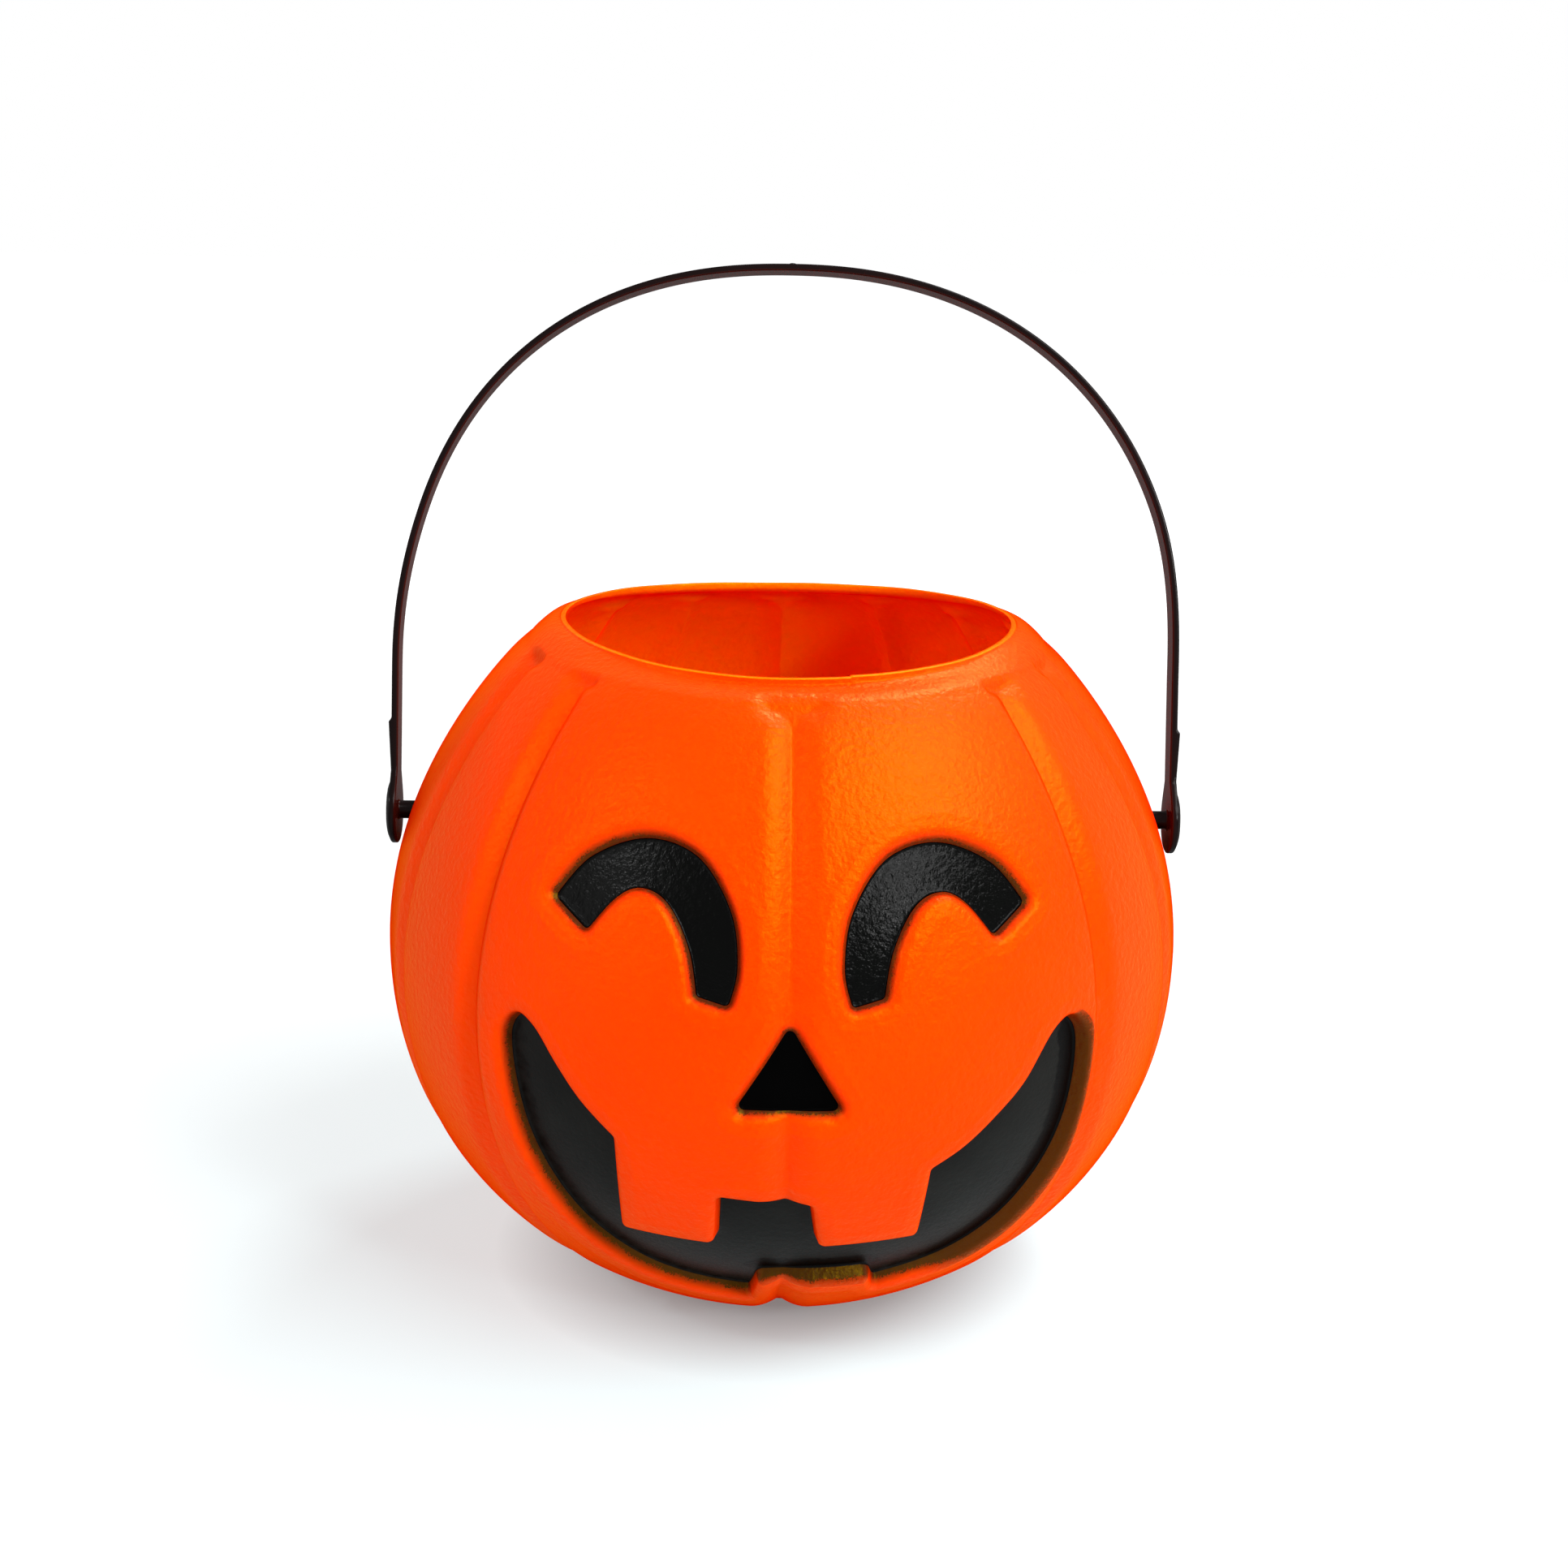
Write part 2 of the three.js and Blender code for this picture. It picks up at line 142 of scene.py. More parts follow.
# Width and fade of the band of painted shade on the paint film beside the walls
SHADE_BAND_WIDTH = 3.8
SHADE_BAND_FADE = 2.2
TOOTH_DUST_AND_SHADE_LOW = -64
TOOTH_DUST_AND_SHADE_SIDE = 24

# Handle
LEAN = math.radians(14)
STRAP_WIDTH = 8
STRAP_THICKNESS = 1.7
ARCH_RISE = 138.8
LEG_LENGTH = 38
ARCH_POWER = 2.24
ARCH_SWAY = 1.0
SWAY_START = 35
SWAY_RUN = 45
SHOULDER_TOP = 23
SHOULDER_BOTTOM = 10
SHOULDER_STEP = 0.7
PAD_RADIUS = 8.5
PAD_RISE = 0.5
PAD_DOME = 0.6
PAD_GAP = 0.65
EDGE_ROUND = 0.45
RIDGE_WIDTH = 0.3
SHOULDER_RIDGE = 0.1
PAD_RIDGE = 0.06
PAD_RIDGE_OUT = 0.4
STUD_RADIUS = 2.3
STUD_CLEARANCE = 0.35
STRAIGHT_HOLE = 3
STRAIGHT_HOLE_FADE = 5
SNAP_RADIUS = 3.6
SNAP_LENGTH = 3.4
SNAP_TIP_RADIUS = 1.5
SNAP_COLLAR = 1.1
SNAP_GAP = 0.5
GATE_RADIUS = 1.2
GATE_TIP_RADIUS = 0.85
GATE_HEIGHT = 0.7
PIVOT_HEIGHT = HINGE["pos_m"][2] / MM

# The face's outlines, seen from the front: X, and the height above the belly's widest ring
EYE_OUTER = [(55.6, 33.9), (46.5, 44.6), (33, 50.4), (20.5, 47.6), (12.6, 36.5), (10.9, 24), (13.2, 14.3)]
EYE_INNER = [(22.2, 16.6), (24, 27), (28.5, 35.6), (34, 38), (39.5, 35), (46.2, 26.9)]
NOSE = [(0, 14.5), (-14.6, -10), (14.6, -10)]
MOUTH_LEFT = [
    (-39.1, -18.7), (-46.7, -11.1), (-52.4, -3.4), (-57.7, 4.4), (-62.3, 6.6), (-66, 0.5), (-64.9, -13),
    (-61.1, -27.8), (-53.7, -43), (-44.3, -55.1), (-32.1, -64.6), (-19.6, -69.2), (-7.3, -71.2),
]
LOWER_TOOTH = [(-5.4, -61.6), (20.3, -61.4)]
MOUTH_RIGHT = [
    (22, -67.8), (39.2, -62.3), (51.3, -53.8), (60.4, -41.8), (66.7, -28.2), (69.8, -13.6), (69.9, 0.2),
    (65.9, 6.5), (60.8, 4.1), (54.1, -6.7), (47.5, -13.9), (40.3, -20.5), (32.9, -25.3),
]
UPPER_TEETH = [(30.9, -45.9), (8, -46.9), (6.2, -33.6), (-15.9, -31.6), (-16.3, -46.8), (-37.6, -45.8)]


# Small tools


def smooth(value):
    value = np.clip(value, 0, 1)
    return value * value * (3 - 2 * value)


def bezier(points, count):
    """Points on a Bezier curve with three or four control points."""
    share = np.linspace(0, 1, count)[:, None]
    points = [np.array(point, float) for point in points]
    while len(points) > 1:
        points = [a * (1 - share) + b * share for a, b in zip(points, points[1:])]
    return points[0]


def resample(points, step, closed=False):
    """The same line with its points an even step apart."""
    line = np.vstack([points, points[:1]]) if closed else points
    lengths = np.concatenate([[0], np.cumsum(np.hypot(*np.diff(line, axis=0).T))])
    count = max(int(round(lengths[-1] / step)), 3)
    marks = np.linspace(0, lengths[-1], count + 1)
    even = np.column_stack([np.interp(marks, lengths, line[:, axis]) for axis in (0, 1)])
    return even[:-1] if closed else even


def signed_distance(points, outline):
    """Each point's distance from a closed outline, negative inside it."""
    nearest = np.full(len(points), 1e9)
    inside = np.zeros(len(points), bool)
    for start, end in zip(outline, np.roll(outline, -1, axis=0)):
        edge = end - start
        offset = points - start
        share = np.clip(offset @ edge / max(edge @ edge, 1e-12), 0, 1)
        nearest = np.minimum(nearest, np.hypot(*(offset - share[:, None] * edge).T))
        crosses = (start[1] > points[:, 1]) != (end[1] > points[:, 1])
        rise = edge[1] if edge[1] else 1e-12
        inside ^= crosses & (points[:, 0] < start[0] + (points[:, 1] - start[1]) * edge[0] / rise)
    return np.where(inside, -nearest, nearest)


def place_object(name, data):
    item = bpy.data.objects.new(name, data)
    bpy.context.scene.collection.objects.link(item)
    return item


def make_object(name, positions, faces):
    mesh = bpy.data.meshes.new(name)
    mesh.from_pydata((np.asarray(positions) * MM).tolist(), [], faces)
    return place_object(name, mesh)


def turn_outwards(piece, close=False):
    """Turns the faces outwards. Can first merge points that coincide and close open edges."""
    shape = bmesh.new()
    shape.from_mesh(piece.data)
    if close:
        bmesh.ops.remove_doubles(shape, verts=shape.verts, dist=MERGE_DISTANCE)
        bmesh.ops.holes_fill(shape, edges=[edge for edge in shape.edges if edge.is_boundary])
    bmesh.ops.recalc_face_normals(shape, faces=shape.faces)
    shape.to_mesh(piece.data)
    shape.free()


def finish_mesh(piece, sharp_angle):
    """Turns the faces outwards and shades them smooth, apart from edges sharper than an angle."""
    turn_outwards(piece)
    piece.data.shade_smooth()
    piece.data.set_sharp_from_angle(angle=math.radians(sharp_angle))


# Body profile


class Profile:
    """The body's outline, measured along its length from the centre of the base."""

    def __init__(self, points):
        even = resample(np.array(points), 0.2)
        self.radius, self.height = even.T
        self.along = np.concatenate([[0], np.cumsum(np.hypot(*np.diff(even, axis=0).T))])
        turn = np.unwrap(np.arctan2(np.gradient(self.height), np.gradient(self.radius)))
        self.turn = np.convolve(np.pad(turn, 2, "edge"), np.ones(5) / 5, "valid")
        self.rise = np.maximum.accumulate(self.height)

    def at(self, along):
        """Radius, height, and the outward normal's two parts."""
        turn = np.interp(along, self.along, self.turn)
        radius = np.interp(along, self.along, self.radius)
        height = np.interp(along, self.along, self.height)
        return radius, height, np.sin(turn), -np.cos(turn)

    def along_at(self, height):
        start = np.searchsorted(self.radius, BASE_RADIUS)
        return np.interp(height, self.rise[start:], self.along[start:])

    def radius_at(self, height):
        return self.at(self.along_at(height))[0]

    def rows(self, first, last, step, most_turn):
        """Places along the profile, closer together where it turns."""
        marks, turned = [first], 0
        inside = (self.along > first) & (self.along < last)
        for along, turn in zip(self.along[inside], self.turn[inside]):
            if along - marks[-1] >= step(along) or abs(turn - turned) >= most_turn:
                marks.append(along)
                turned = turn
        return marks + [last]


def body_points():
    drop = BELLY_HEIGHT / math.sqrt(1 - (BASE_RADIUS / BELLY_RADIUS) ** 2)
    turns = np.linspace(math.acos((BASE_RADIUS + BASE_FILLET) / BELLY_RADIUS), 0, 200)
    fuller = BOWL_FULLNESS * np.sin(math.pi * (turns / turns[0]) ** 1.5)
    bowl = np.column_stack([BELLY_RADIUS * np.cos(turns) + fuller, BELLY_HEIGHT - drop * np.sin(turns)])
    fillet = bezier([(BASE_RADIUS - BASE_FILLET, 0), (BASE_RADIUS, 0), bowl[0]], 12)
    step_in = PUSH_UP_RADIUS - PUSH_UP_SLOPE
    push_up = bezier([(step_in - 1, PUSH_UP_HEIGHT), (step_in + 1, PUSH_UP_HEIGHT),
                      (step_in + 1, 0), (PUSH_UP_RADIUS + 1, 0)], 24)
    pull_out = COLLAR_PULL * math.cos(COLLAR_SLOPE)
    pull_down = COLLAR_PULL * math.sin(COLLAR_SLOPE)
    crown = bezier([
        (BELLY_RADIUS, BELLY_HEIGHT), (BELLY_RADIUS, BELLY_HEIGHT + CROWN_START_PULL),
        (COLLAR_RADIUS + pull_out, COLLAR_HEIGHT - pull_down), (COLLAR_RADIUS, COLLAR_HEIGHT)], 200)
    ledge = bezier([
        (COLLAR_RADIUS, COLLAR_HEIGHT), (COLLAR_RADIUS - LEDGE_RISE, LEDGE_HEIGHT),
        (RIM_RADIUS, COLLAR_HEIGHT + LEDGE_RISE / 2), (RIM_RADIUS, LEDGE_HEIGHT + NECK_HEIGHT / 2)], 60)
    top = [(RIM_RADIUS, RIM_HEIGHT - RIM_ROUND)]
    return np.vstack([[(0, PUSH_UP_HEIGHT)], push_up, fillet, bowl[1:], crown[1:], ledge[1:], top])


BODY = Profile(body_points())
RIM_ALONG = BODY.along[-1]
PANEL_TOP = BODY.along_at(COLLAR_HEIGHT)


def side_top():
    """The outline from the collar to the rim at the bucket's sides."""
    ledge = (SIDE_LEDGE_RADIUS, SIDE_LEDGE_HEIGHT)
    slope = bezier([(COLLAR_RADIUS, COLLAR_HEIGHT),
                    (COLLAR_RADIUS - SIDE_SLOPE_IN, COLLAR_HEIGHT + SIDE_SLOPE_UP),
                    (SIDE_LEDGE_RADIUS + SIDE_SLOPE_OUT, SIDE_LEDGE_HEIGHT), ledge], 60)
    foot = bezier([ledge, (RIM_RADIUS, SIDE_LEDGE_HEIGHT), (RIM_RADIUS, SIDE_RIM_HEIGHT - RIM_ROUND)], 12)
    return resample(np.vstack([slope, foot[1:]]), 0.1)


SIDE_TOP = side_top()


def section(angle, along):
    """Radius and height of the panels' surface. Above the collar they differ with the angle."""
    radius, height, _, _ = BODY.at(along)
    share = (along - PANEL_TOP) / (RIM_ALONG - PANEL_TOP)
    side = np.where(share > 0, np.sin(np.radians(angle)) ** 2, 0)
    marks = np.linspace(0, 1, len(SIDE_TOP))
    radius = radius + side * (np.interp(share, marks, SIDE_TOP[:, 0]) - radius)
    height = height + side * (np.interp(share, marks, SIDE_TOP[:, 1]) - height)
    return radius, height


def groove_depth(angle, along, widen=0.0):
    """How far the wall lies below the panels' surface.

    The grooves down the front and the back have equal sides. The others are steep on one side only, the
    side that is nearer the front or the back.
    """
    radius, height, _, _ = BODY.at(along)
    lines = np.radians(np.array(GROOVE_ANGLES, float))
    turn = (np.radians(angle)[:, None] - lines + math.pi) % (2 * math.pi) - math.pi
    nearest = np.abs(turn).argmin(axis=1)
    line = lines[nearest]
    side = turn[np.arange(len(turn)), nearest] * radius
    towards_back = side * np.sin(line) > 0
    steep = towards_back == (np.cos(line) < 0)
    middle = np.abs(np.sin(line)) < 0.01
    width = np.where(middle, MIDDLE_SIDE, np.where(steep, STEEP_SIDE, WIDE_SIDE)) + widen
    corner = np.where(middle, MIDDLE_CORNER, SIDE_CORNER)
    side = np.abs(side)
    below = PANEL_TOP - along
    inside = np.minimum(side, below)
    at_corner = (side < corner) & (below < corner)
    inside = np.where(at_corner, corner - np.hypot(corner - side, corner - below), inside)
    inside = np.hypot(np.clip(inside, 0, None), VALLEY_ROUND)
    share = (1 - np.clip(inside / width, 0, 1)) ** GROOVE_CURVE
    nearby = 1 - smooth((side - CORNER_REACH * corner) / (CORNER_FADE * width))
    full = np.where(middle, MIDDLE_DEPTH, SIDE_DEPTH)
    above = np.clip(1 + below / np.where(middle, MIDDLE_FADE_UP, SIDE_FADE_UP), 0, 1)
    fade = np.interp(below, [0, GROOVE_TOP_REACH], [GROOVE_TOP_SHARE, 1]) * above
    step = PANEL_STEP_DOWN * smooth(1 - below / PANEL_STEP_WIDTH) * smooth(above)
    groove = fade * share * nearby
    return (full * groove + step * (1 - groove)) * smooth(height / GROOVE_RUN_OUT)


# The face's outlines


def spline(points, steps=12):
    """A Catmull-Rom curve through the points."""
    points = np.array(points, float)
    ends = np.vstack([points[:1], points, points[-1:]])
    share = np.linspace(0, 1, steps, endpoint=False)[:, None]
    pieces = []
    for a, b, c, d in zip(ends, ends[1:], ends[2:], ends[3:]):
        pieces.append(0.5 * (2 * b + (c - a) * share + (2 * a - 5 * b + 4 * c - d) * share ** 2
                             + (3 * b - a - 3 * c + d) * share ** 3))
    return np.vstack(pieces + [points[-1:]])


def round_corners(points, radius, sharp=math.radians(28)):
    """Replaces each sharp corner of a closed outline with an arc."""
    back, out = points - np.roll(points, 1, axis=0), np.roll(points, -1, axis=0) - points
    turns = np.arctan2(back[:, 0] * out[:, 1] - back[:, 1] * out[:, 0], np.sum(back * out, axis=1))
    corners = np.flatnonzero(np.abs(turns) > sharp)
    cuts = radius * np.tan(np.abs(turns[corners]) / 2)
    rounded = []
    for k, first in enumerate(corners):
        last = corners[(k + 1) % len(corners)]
        last += len(points) if last <= first else 0
        stretch = points[np.arange(first, last + 1) % len(points)]
        lengths = np.concatenate([[0], np.cumsum(np.hypot(*np.diff(stretch, axis=0).T))])
        marks = np.arange(cuts[k], lengths[-1] - cuts[(k + 1) % len(corners)], 0.2)
        side = np.column_stack([np.interp(marks, lengths, stretch[:, axis]) for axis in (0, 1)])
        rounded.append(side)
    result = []
    for k, side in enumerate(rounded):
        corner, weight = points[corners[k]], math.cos(turns[corners[k]] / 2)
        share = np.linspace(0, 1, 17)[:, None]
        parts = (1 - share) ** 2, 2 * weight * share * (1 - share), share ** 2
        arc = parts[0] * rounded[k - 1][-1] + parts[1] * corner + parts[2] * side[0]
        result += [arc / sum(parts), side[1:-1]]
    return np.vstack(result)


STATION_STEP = 0.55


class Feature:
    """A sunk part of the face."""

    def __init__(self, name, outline, depth, corner, draft, fillet):
        self.name = name
        self.depth = depth
        self.draft = draft
        self.fillet = fillet
        even = resample(round_corners(np.array(outline, float), corner), STATION_STEP, closed=True)
        area = np.sum(even[:, 0] * np.roll(even[:, 1], -1) - np.roll(even[:, 0], -1) * even[:, 1])
        self.outline = even if area > 0 else even[::-1]
        along = np.roll(self.outline, -1, axis=0) - np.roll(self.outline, 1, axis=0)
        normal = np.column_stack([along[:, 1], -along[:, 0]])
        normal = normal + 0.5 * (np.roll(normal, 1, axis=0) + np.roll(normal, -1, axis=0))
        self.normal = normal / np.hypot(*normal.T)[:, None]

    def loops(self):
        """Distances of the rings of points that draw the lip, the wall and the fillet."""
        lip = [1.3, 0.9, 0.55, 0.3, 0.12, 0]
        wall = [-self.draft * share for share in (0.25, 0.5, 0.75, 1)]
        fillet = [-self.draft - self.fillet * share for share in (0.05, 0.15, 0.35, 0.6, 1)]
        return lip + wall + fillet

    def sunk(self, distance):
        """Depth below the panels' surface at a distance from the outline."""
        out = np.clip(1 - distance / LIP_WIDTH, 0, 1)
        lip = LIP_DROP * out ** LIP_CURVE
        wall = LIP_DROP + (self.depth - LIP_DROP - FILLET_DROP) * np.clip(-distance / self.draft, 0, 1)
        foot = np.clip((distance + self.draft + self.fillet) / self.fillet, 0, 1)
        fillet = self.depth - FILLET_DROP * (1 - np.sqrt(1 - foot ** 2))
        return np.where(distance > 0, lip, np.where(distance > -self.draft, wall, fillet))


def mirrored(outline):
    return [(-x, height) for x, height in outline]


def without_overlap(line):
    """Drops a point that lies on the one before it."""
    keep = np.hypot(*(line - np.roll(line, 1, axis=0)).T) > 1e-6
    return line[keep]


EYE = without_overlap(np.vstack([spline(EYE_OUTER), spline(EYE_INNER)]))
MOUTH = without_overlap(np.vstack([spline(MOUTH_LEFT), LOWER_TOOTH, spline(MOUTH_RIGHT), UPPER_TEETH]))
FEATURES = [
    Feature("eye_left", mirrored(EYE), 3.3, 2.2, 1.1, 0.65),
    Feature("eye_right", EYE, 3.3, 2.2, 1.1, 0.65),
    Feature("nose", NOSE, 3.5, 2.6, 1.3, 0.6),
    Feature("mouth", MOUTH, 4.4, 1.6, 0.75, 0.65),
]


# Walls, laid out flat: the angle round the bucket against the way along the profile


class Sheet:
    """Points and faces of one side of the wall."""

    def __init__(self):
        self.angle, self.along = [], []
        self.feature, self.distance, self.reach = [], [], []
        self.faces = []

    def add(self, angle, along, feature=-1, distance=np.nan, reach=0.0):
        self.angle.append(float(angle))
        self.along.append(float(along))
        self.feature.append(feature)
        self.distance.append(distance)
        self.reach.append(reach)
        return len(self.angle) - 1

    def flat(self, ids):
        """Places on the flat layout, in millimetres."""
        across = np.radians(np.array(self.angle)[ids]) * BELLY_RADIUS
        return np.column_stack([across, np.array(self.along)[ids]])

    def grid(self, angles, rows, kept_free):
        """Lays out quads that go right round. Cells with a corner that is kept free stay open."""
        self.columns, self.rows = np.array(angles), np.array(rows)
        free = kept_free(*np.meshgrid(self.columns, self.rows))
        free = free | np.roll(free, -1, axis=1)
        self.open = free[:-1] | free[1:]
        closed = ~self.open | np.roll(~self.open, 1, axis=1)
        used = np.vstack([closed, closed[-1:]])
        used[1:] |= closed
        ids = np.full(used.shape, -1)
        for j, i in np.argwhere(used):
            ids[j, i] = self.add(angles[i], rows[j])
        following = np.roll(ids, -1, axis=1)
        for j, i in np.argwhere(~self.open):
            self.faces.append((ids[j, i], following[j, i], following[j + 1, i], ids[j + 1, i]))
        return ids

    def open_edges(self, ids):
        """The grid's edges between an open cell and a closed one."""
        following = np.roll(ids, -1, axis=1)
        beside = np.roll(self.open, 1, axis=1)
        edges = []
        for j, i in np.argwhere(self.open != beside):
            edges.append((ids[j, i], ids[j + 1, i]))
        for j, i in np.argwhere(self.open[1:] != self.open[:-1]):
            edges.append((ids[j + 1, i], following[j + 1, i]))
        return edges

    def in_open_cell(self, flat):
        i = np.searchsorted(np.radians(self.columns) * BELLY_RADIUS, flat[:, 0]) - 1
        j = np.searchsorted(self.rows, flat[:, 1]) - 1
        return self.open[np.clip(j, 0, len(self.rows) - 2), np.clip(i, 0, len(self.columns) - 1)]

    def triangulate(self, edges, inner):
        """Triangles between the edges' ends and the inner points, and the middle of each triangle."""
        used = sorted({int(i) for edge in edges for i in edge} | set(inner))
        renumber = {i: k for k, i in enumerate(used)}
        places = [Vector(place) for place in self.flat(used)]
        edges = [(renumber[int(a)], renumber[int(b)]) for a, b in edges]
        result = delaunay_2d_cdt(places, edges, [], 0, 1e-6, True)
        points, triangles, origins = result[0], result[2], result[3]
        if len(points) != len(used):
            print("triangulate: lines cross, points", len(used), "became", len(points))
        source = [used[origin[0]] for origin in origins]
        flat = np.array([tuple(point) for point in points])
        middles = np.array([flat[list(triangle)].mean(axis=0) for triangle in triangles])
        return [tuple(source[v] for v in triangle) for triangle in triangles], middles

    def fill_open(self, ids, loops, inner):
        """Fills the open cells outside the loops."""
        edges = self.open_edges(ids) + [edge for loop in loops for edge in closed_edges(loop)]
        triangles, middles = self.triangulate(edges, inner)
        keep = self.in_open_cell(middles)
        for loop in loops:
            keep &= signed_distance(middles, self.flat(loop)) > 0
        self.faces += [triangle for triangle, kept in zip(triangles, keep) if kept]

    def fill_inside(self, loop, inner):
        triangles, middles = self.triangulate(closed_edges(loop), inner)
        keep = signed_distance(middles, self.flat(loop)) < 0
        self.faces += [triangle for triangle, kept in zip(triangles, keep) if kept]


def closed_edges(loop):
    return list(zip(loop, loop[1:] + loop[:1]))


FINE_OFFSETS = [0, 0.16, 0.34, 0.7, 1.2, 1.8, 2.4, 3, 3.6, 4.2, 4.9, 5.6, 6.3, 7.1, 8, 9, 10, 11.2]
PANEL_STEP = 2.1


def column_angles(fine_offsets, panel_step):
    """Angles round the bucket, close together at each groove."""
    fine = [math.degrees(offset / BELLY_RADIUS) for offset in fine_offsets]
    lines = sorted((angle + 180) % 360 - 180 for angle in GROOVE_ANGLES)
    angles = []
    for line, following in zip(lines, lines[1:] + [lines[0] + 360]):
        first, last = line + fine[-1], following - fine[-1]
        count = math.ceil(math.radians(last - first) * BELLY_RADIUS / panel_step)
        angles += [line + offset for offset in fine]
        angles += list(np.linspace(first, last, count + 1)[1:])
        angles += [following - offset for offset in fine[-2:0:-1]]
    return sorted(angles + [NICK_ANGLE - 0.15, NICK_ANGLE + 0.15])


def unroll(points):
    """Angle and place along the profile of points seen from the front."""
    height = points[:, 1] + BELLY_HEIGHT
    radius = BODY.radius_at(height)
    return np.degrees(np.arcsin(points[:, 0] / radius)), BODY.along_at(height)


def front_view(angle, along):
    """The reverse of unroll."""
    radius, height, _, _ = BODY.at(along)
    return np.column_stack([radius * np.sin(np.radians(angle)), height - BELLY_HEIGHT])


def nearest_feature(points):
    distances = np.array([signed_distance(points, feature.outline) for feature in FEATURES])
    nearest = distances.argmin(axis=0)
    return nearest, distances[nearest, np.arange(len(points))]


SHEET_MARGIN = 6
STUD_MARGIN = 4.5
FRONT_ANGLE = 60
LIP_LINES = [1.9, 2.5, 3.1, 3.6, 4, 4.5, 5.1]
FLOOR_STEP = 1.7


def spread(points, gap):
    """Keeps points that are at least a gap apart."""
    kept = []
    for point in points:
        if not kept or np.hypot(*(np.array(kept) - point).T).min() >= gap:
            kept.append(point)
    return np.array(kept)


def lip_points():
    """Points outside each outline that draw the soft lip."""
    points = []
    for feature in FEATURES:
        for offset in LIP_LINES:
            line = (feature.outline + feature.normal * offset)[::2]
            clear = nearest_feature(line)[1] > offset - 0.05
            points.append(spread(line[clear], 0.9))
    return np.vstack(points)


def floor_points(feature):
    low, high = feature.outline.min(axis=0), feature.outline.max(axis=0)
    across = np.arange(low[0], high[0], FLOOR_STEP)
    up = np.arange(low[1], high[1], FLOOR_STEP * 0.87)
    points = [(x + (row % 2) * FLOOR_STEP / 2, y) for row, y in enumerate(up) for x in across]
    points = np.array(points)
    return points[signed_distance(points, feature.outline) < feature.loops()[-1] - 0.9]


def overspray_and_shade(feature):
    """How far the paint's dust, and painted shade with it, climbs the walls: most on the side that the
    spray gun pointed at. The same amounts set the band of painted shade on the paint film.
    """
    if feature.name != "mouth":
        return np.full(len(feature.outline), NOSE_DUST_AND_SHADE if feature.name == "nose" else EYE_DUST_AND_SHADE)
    across, up = feature.outline.T
    out, rise = feature.normal.T
    right = smooth(out * 1.6) * smooth((across - SIDE_DUST_AND_SHADE_START) / SIDE_DUST_AND_SHADE_RUN)
    tooth = smooth((up - TOOTH_DUST_AND_SHADE_LOW) / 2) * smooth((TOOTH_DUST_AND_SHADE_SIDE - np.abs(across)) / 3)
    tooth = tooth * smooth(-rise * 2)
    left = smooth(-out * 1.6) * smooth((-across - SIDE_DUST_AND_SHADE_START) / SIDE_DUST_AND_SHADE_RUN)
    rim = smooth(-rise * 2) + left
    return np.maximum.reduce([right, TOOTH_DUST_AND_SHADE * tooth, RIM_DUST_AND_SHADE * np.clip(rim, 0, 1)])


def wall_rings(sheet, index, feature):
    """The rings of the lip, wall and fillet of one feature, as quads. Gives the outer and inner rings."""
    rings = []
    reach = overspray_and_shade(feature)
    for distance in feature.loops():
        line = feature.outline + feature.normal * distance
        angles, alongs = unroll(line)
        rings.append([sheet.add(a, s, index, distance, r) for a, s, r in zip(angles, alongs, reach)])
    for outer, inner in zip(rings, rings[1:]):
        sheet.faces += bridge(outer, inner)
    return rings[0], rings[-1]


def stud_loop(sheet, side):
    """A ring of points round the hole for the handle's stud."""
    turns = np.linspace(0, 2 * math.pi, 32, endpoint=False)
    radius = STUD_RADIUS + STUD_CLEARANCE
    height = PIVOT_HEIGHT + radius * np.sin(turns)
    shift = np.degrees(np.arcsin(radius * np.cos(turns) / BODY.radius_at(height)))
    return [sheet.add(side * 90 + a, s) for a, s in zip(shift, BODY.along_at(height))]


def near_studs(angle, along):
    """True close to the holes for the handle's studs."""
    across = np.radians(np.abs(angle) - 90) * BELLY_RADIUS
    return np.hypot(across, along - BODY.along_at(PIVOT_HEIGHT)) < STUD_MARGIN


def near_face_or_studs(angle, along):
    close = near_studs(angle, along)
    front = np.abs(angle) < FRONT_ANGLE
    gap = nearest_feature(front_view(angle[front], along[front]))[1]
    close[front] |= gap < SHEET_MARGIN
    return close


def outer_sheet(angles):
    rows = BODY.rows(0, RIM_ALONG, lambda along: 0.8 if abs(along - PANEL_TOP) < 10 else 2.0, 0.12)
    sheet = Sheet()
    ids = sheet.grid(angles, rows[1:], near_face_or_studs)
    cap(sheet, ids[0], sheet.add(0, 0))
    inner = [sheet.add(a, s) for a, s in zip(*unroll(lip_points()))]
    inside = sheet.in_open_cell(sheet.flat(inner))
    inner = [i for i, kept in zip(inner, inside) if kept]
    holes = []
    for index, feature in enumerate(FEATURES):
        lip, foot = wall_rings(sheet, index, feature)
        holes.append(lip)
        floor = unroll(floor_points(feature))
        sheet.fill_inside(foot, [sheet.add(a, s, index, -feature.depth) for a, s in zip(*floor)])
    loops = [stud_loop(sheet, side) for side in (-1, 1)]
    sheet.fill_open(ids, holes + loops, inner)
    return sheet, ids[-1], loops


def cap(sheet, ring, pole):
    for i in range(len(ring)):
        sheet.faces.append((pole, ring[(i + 1) % len(ring)], ring[i]))


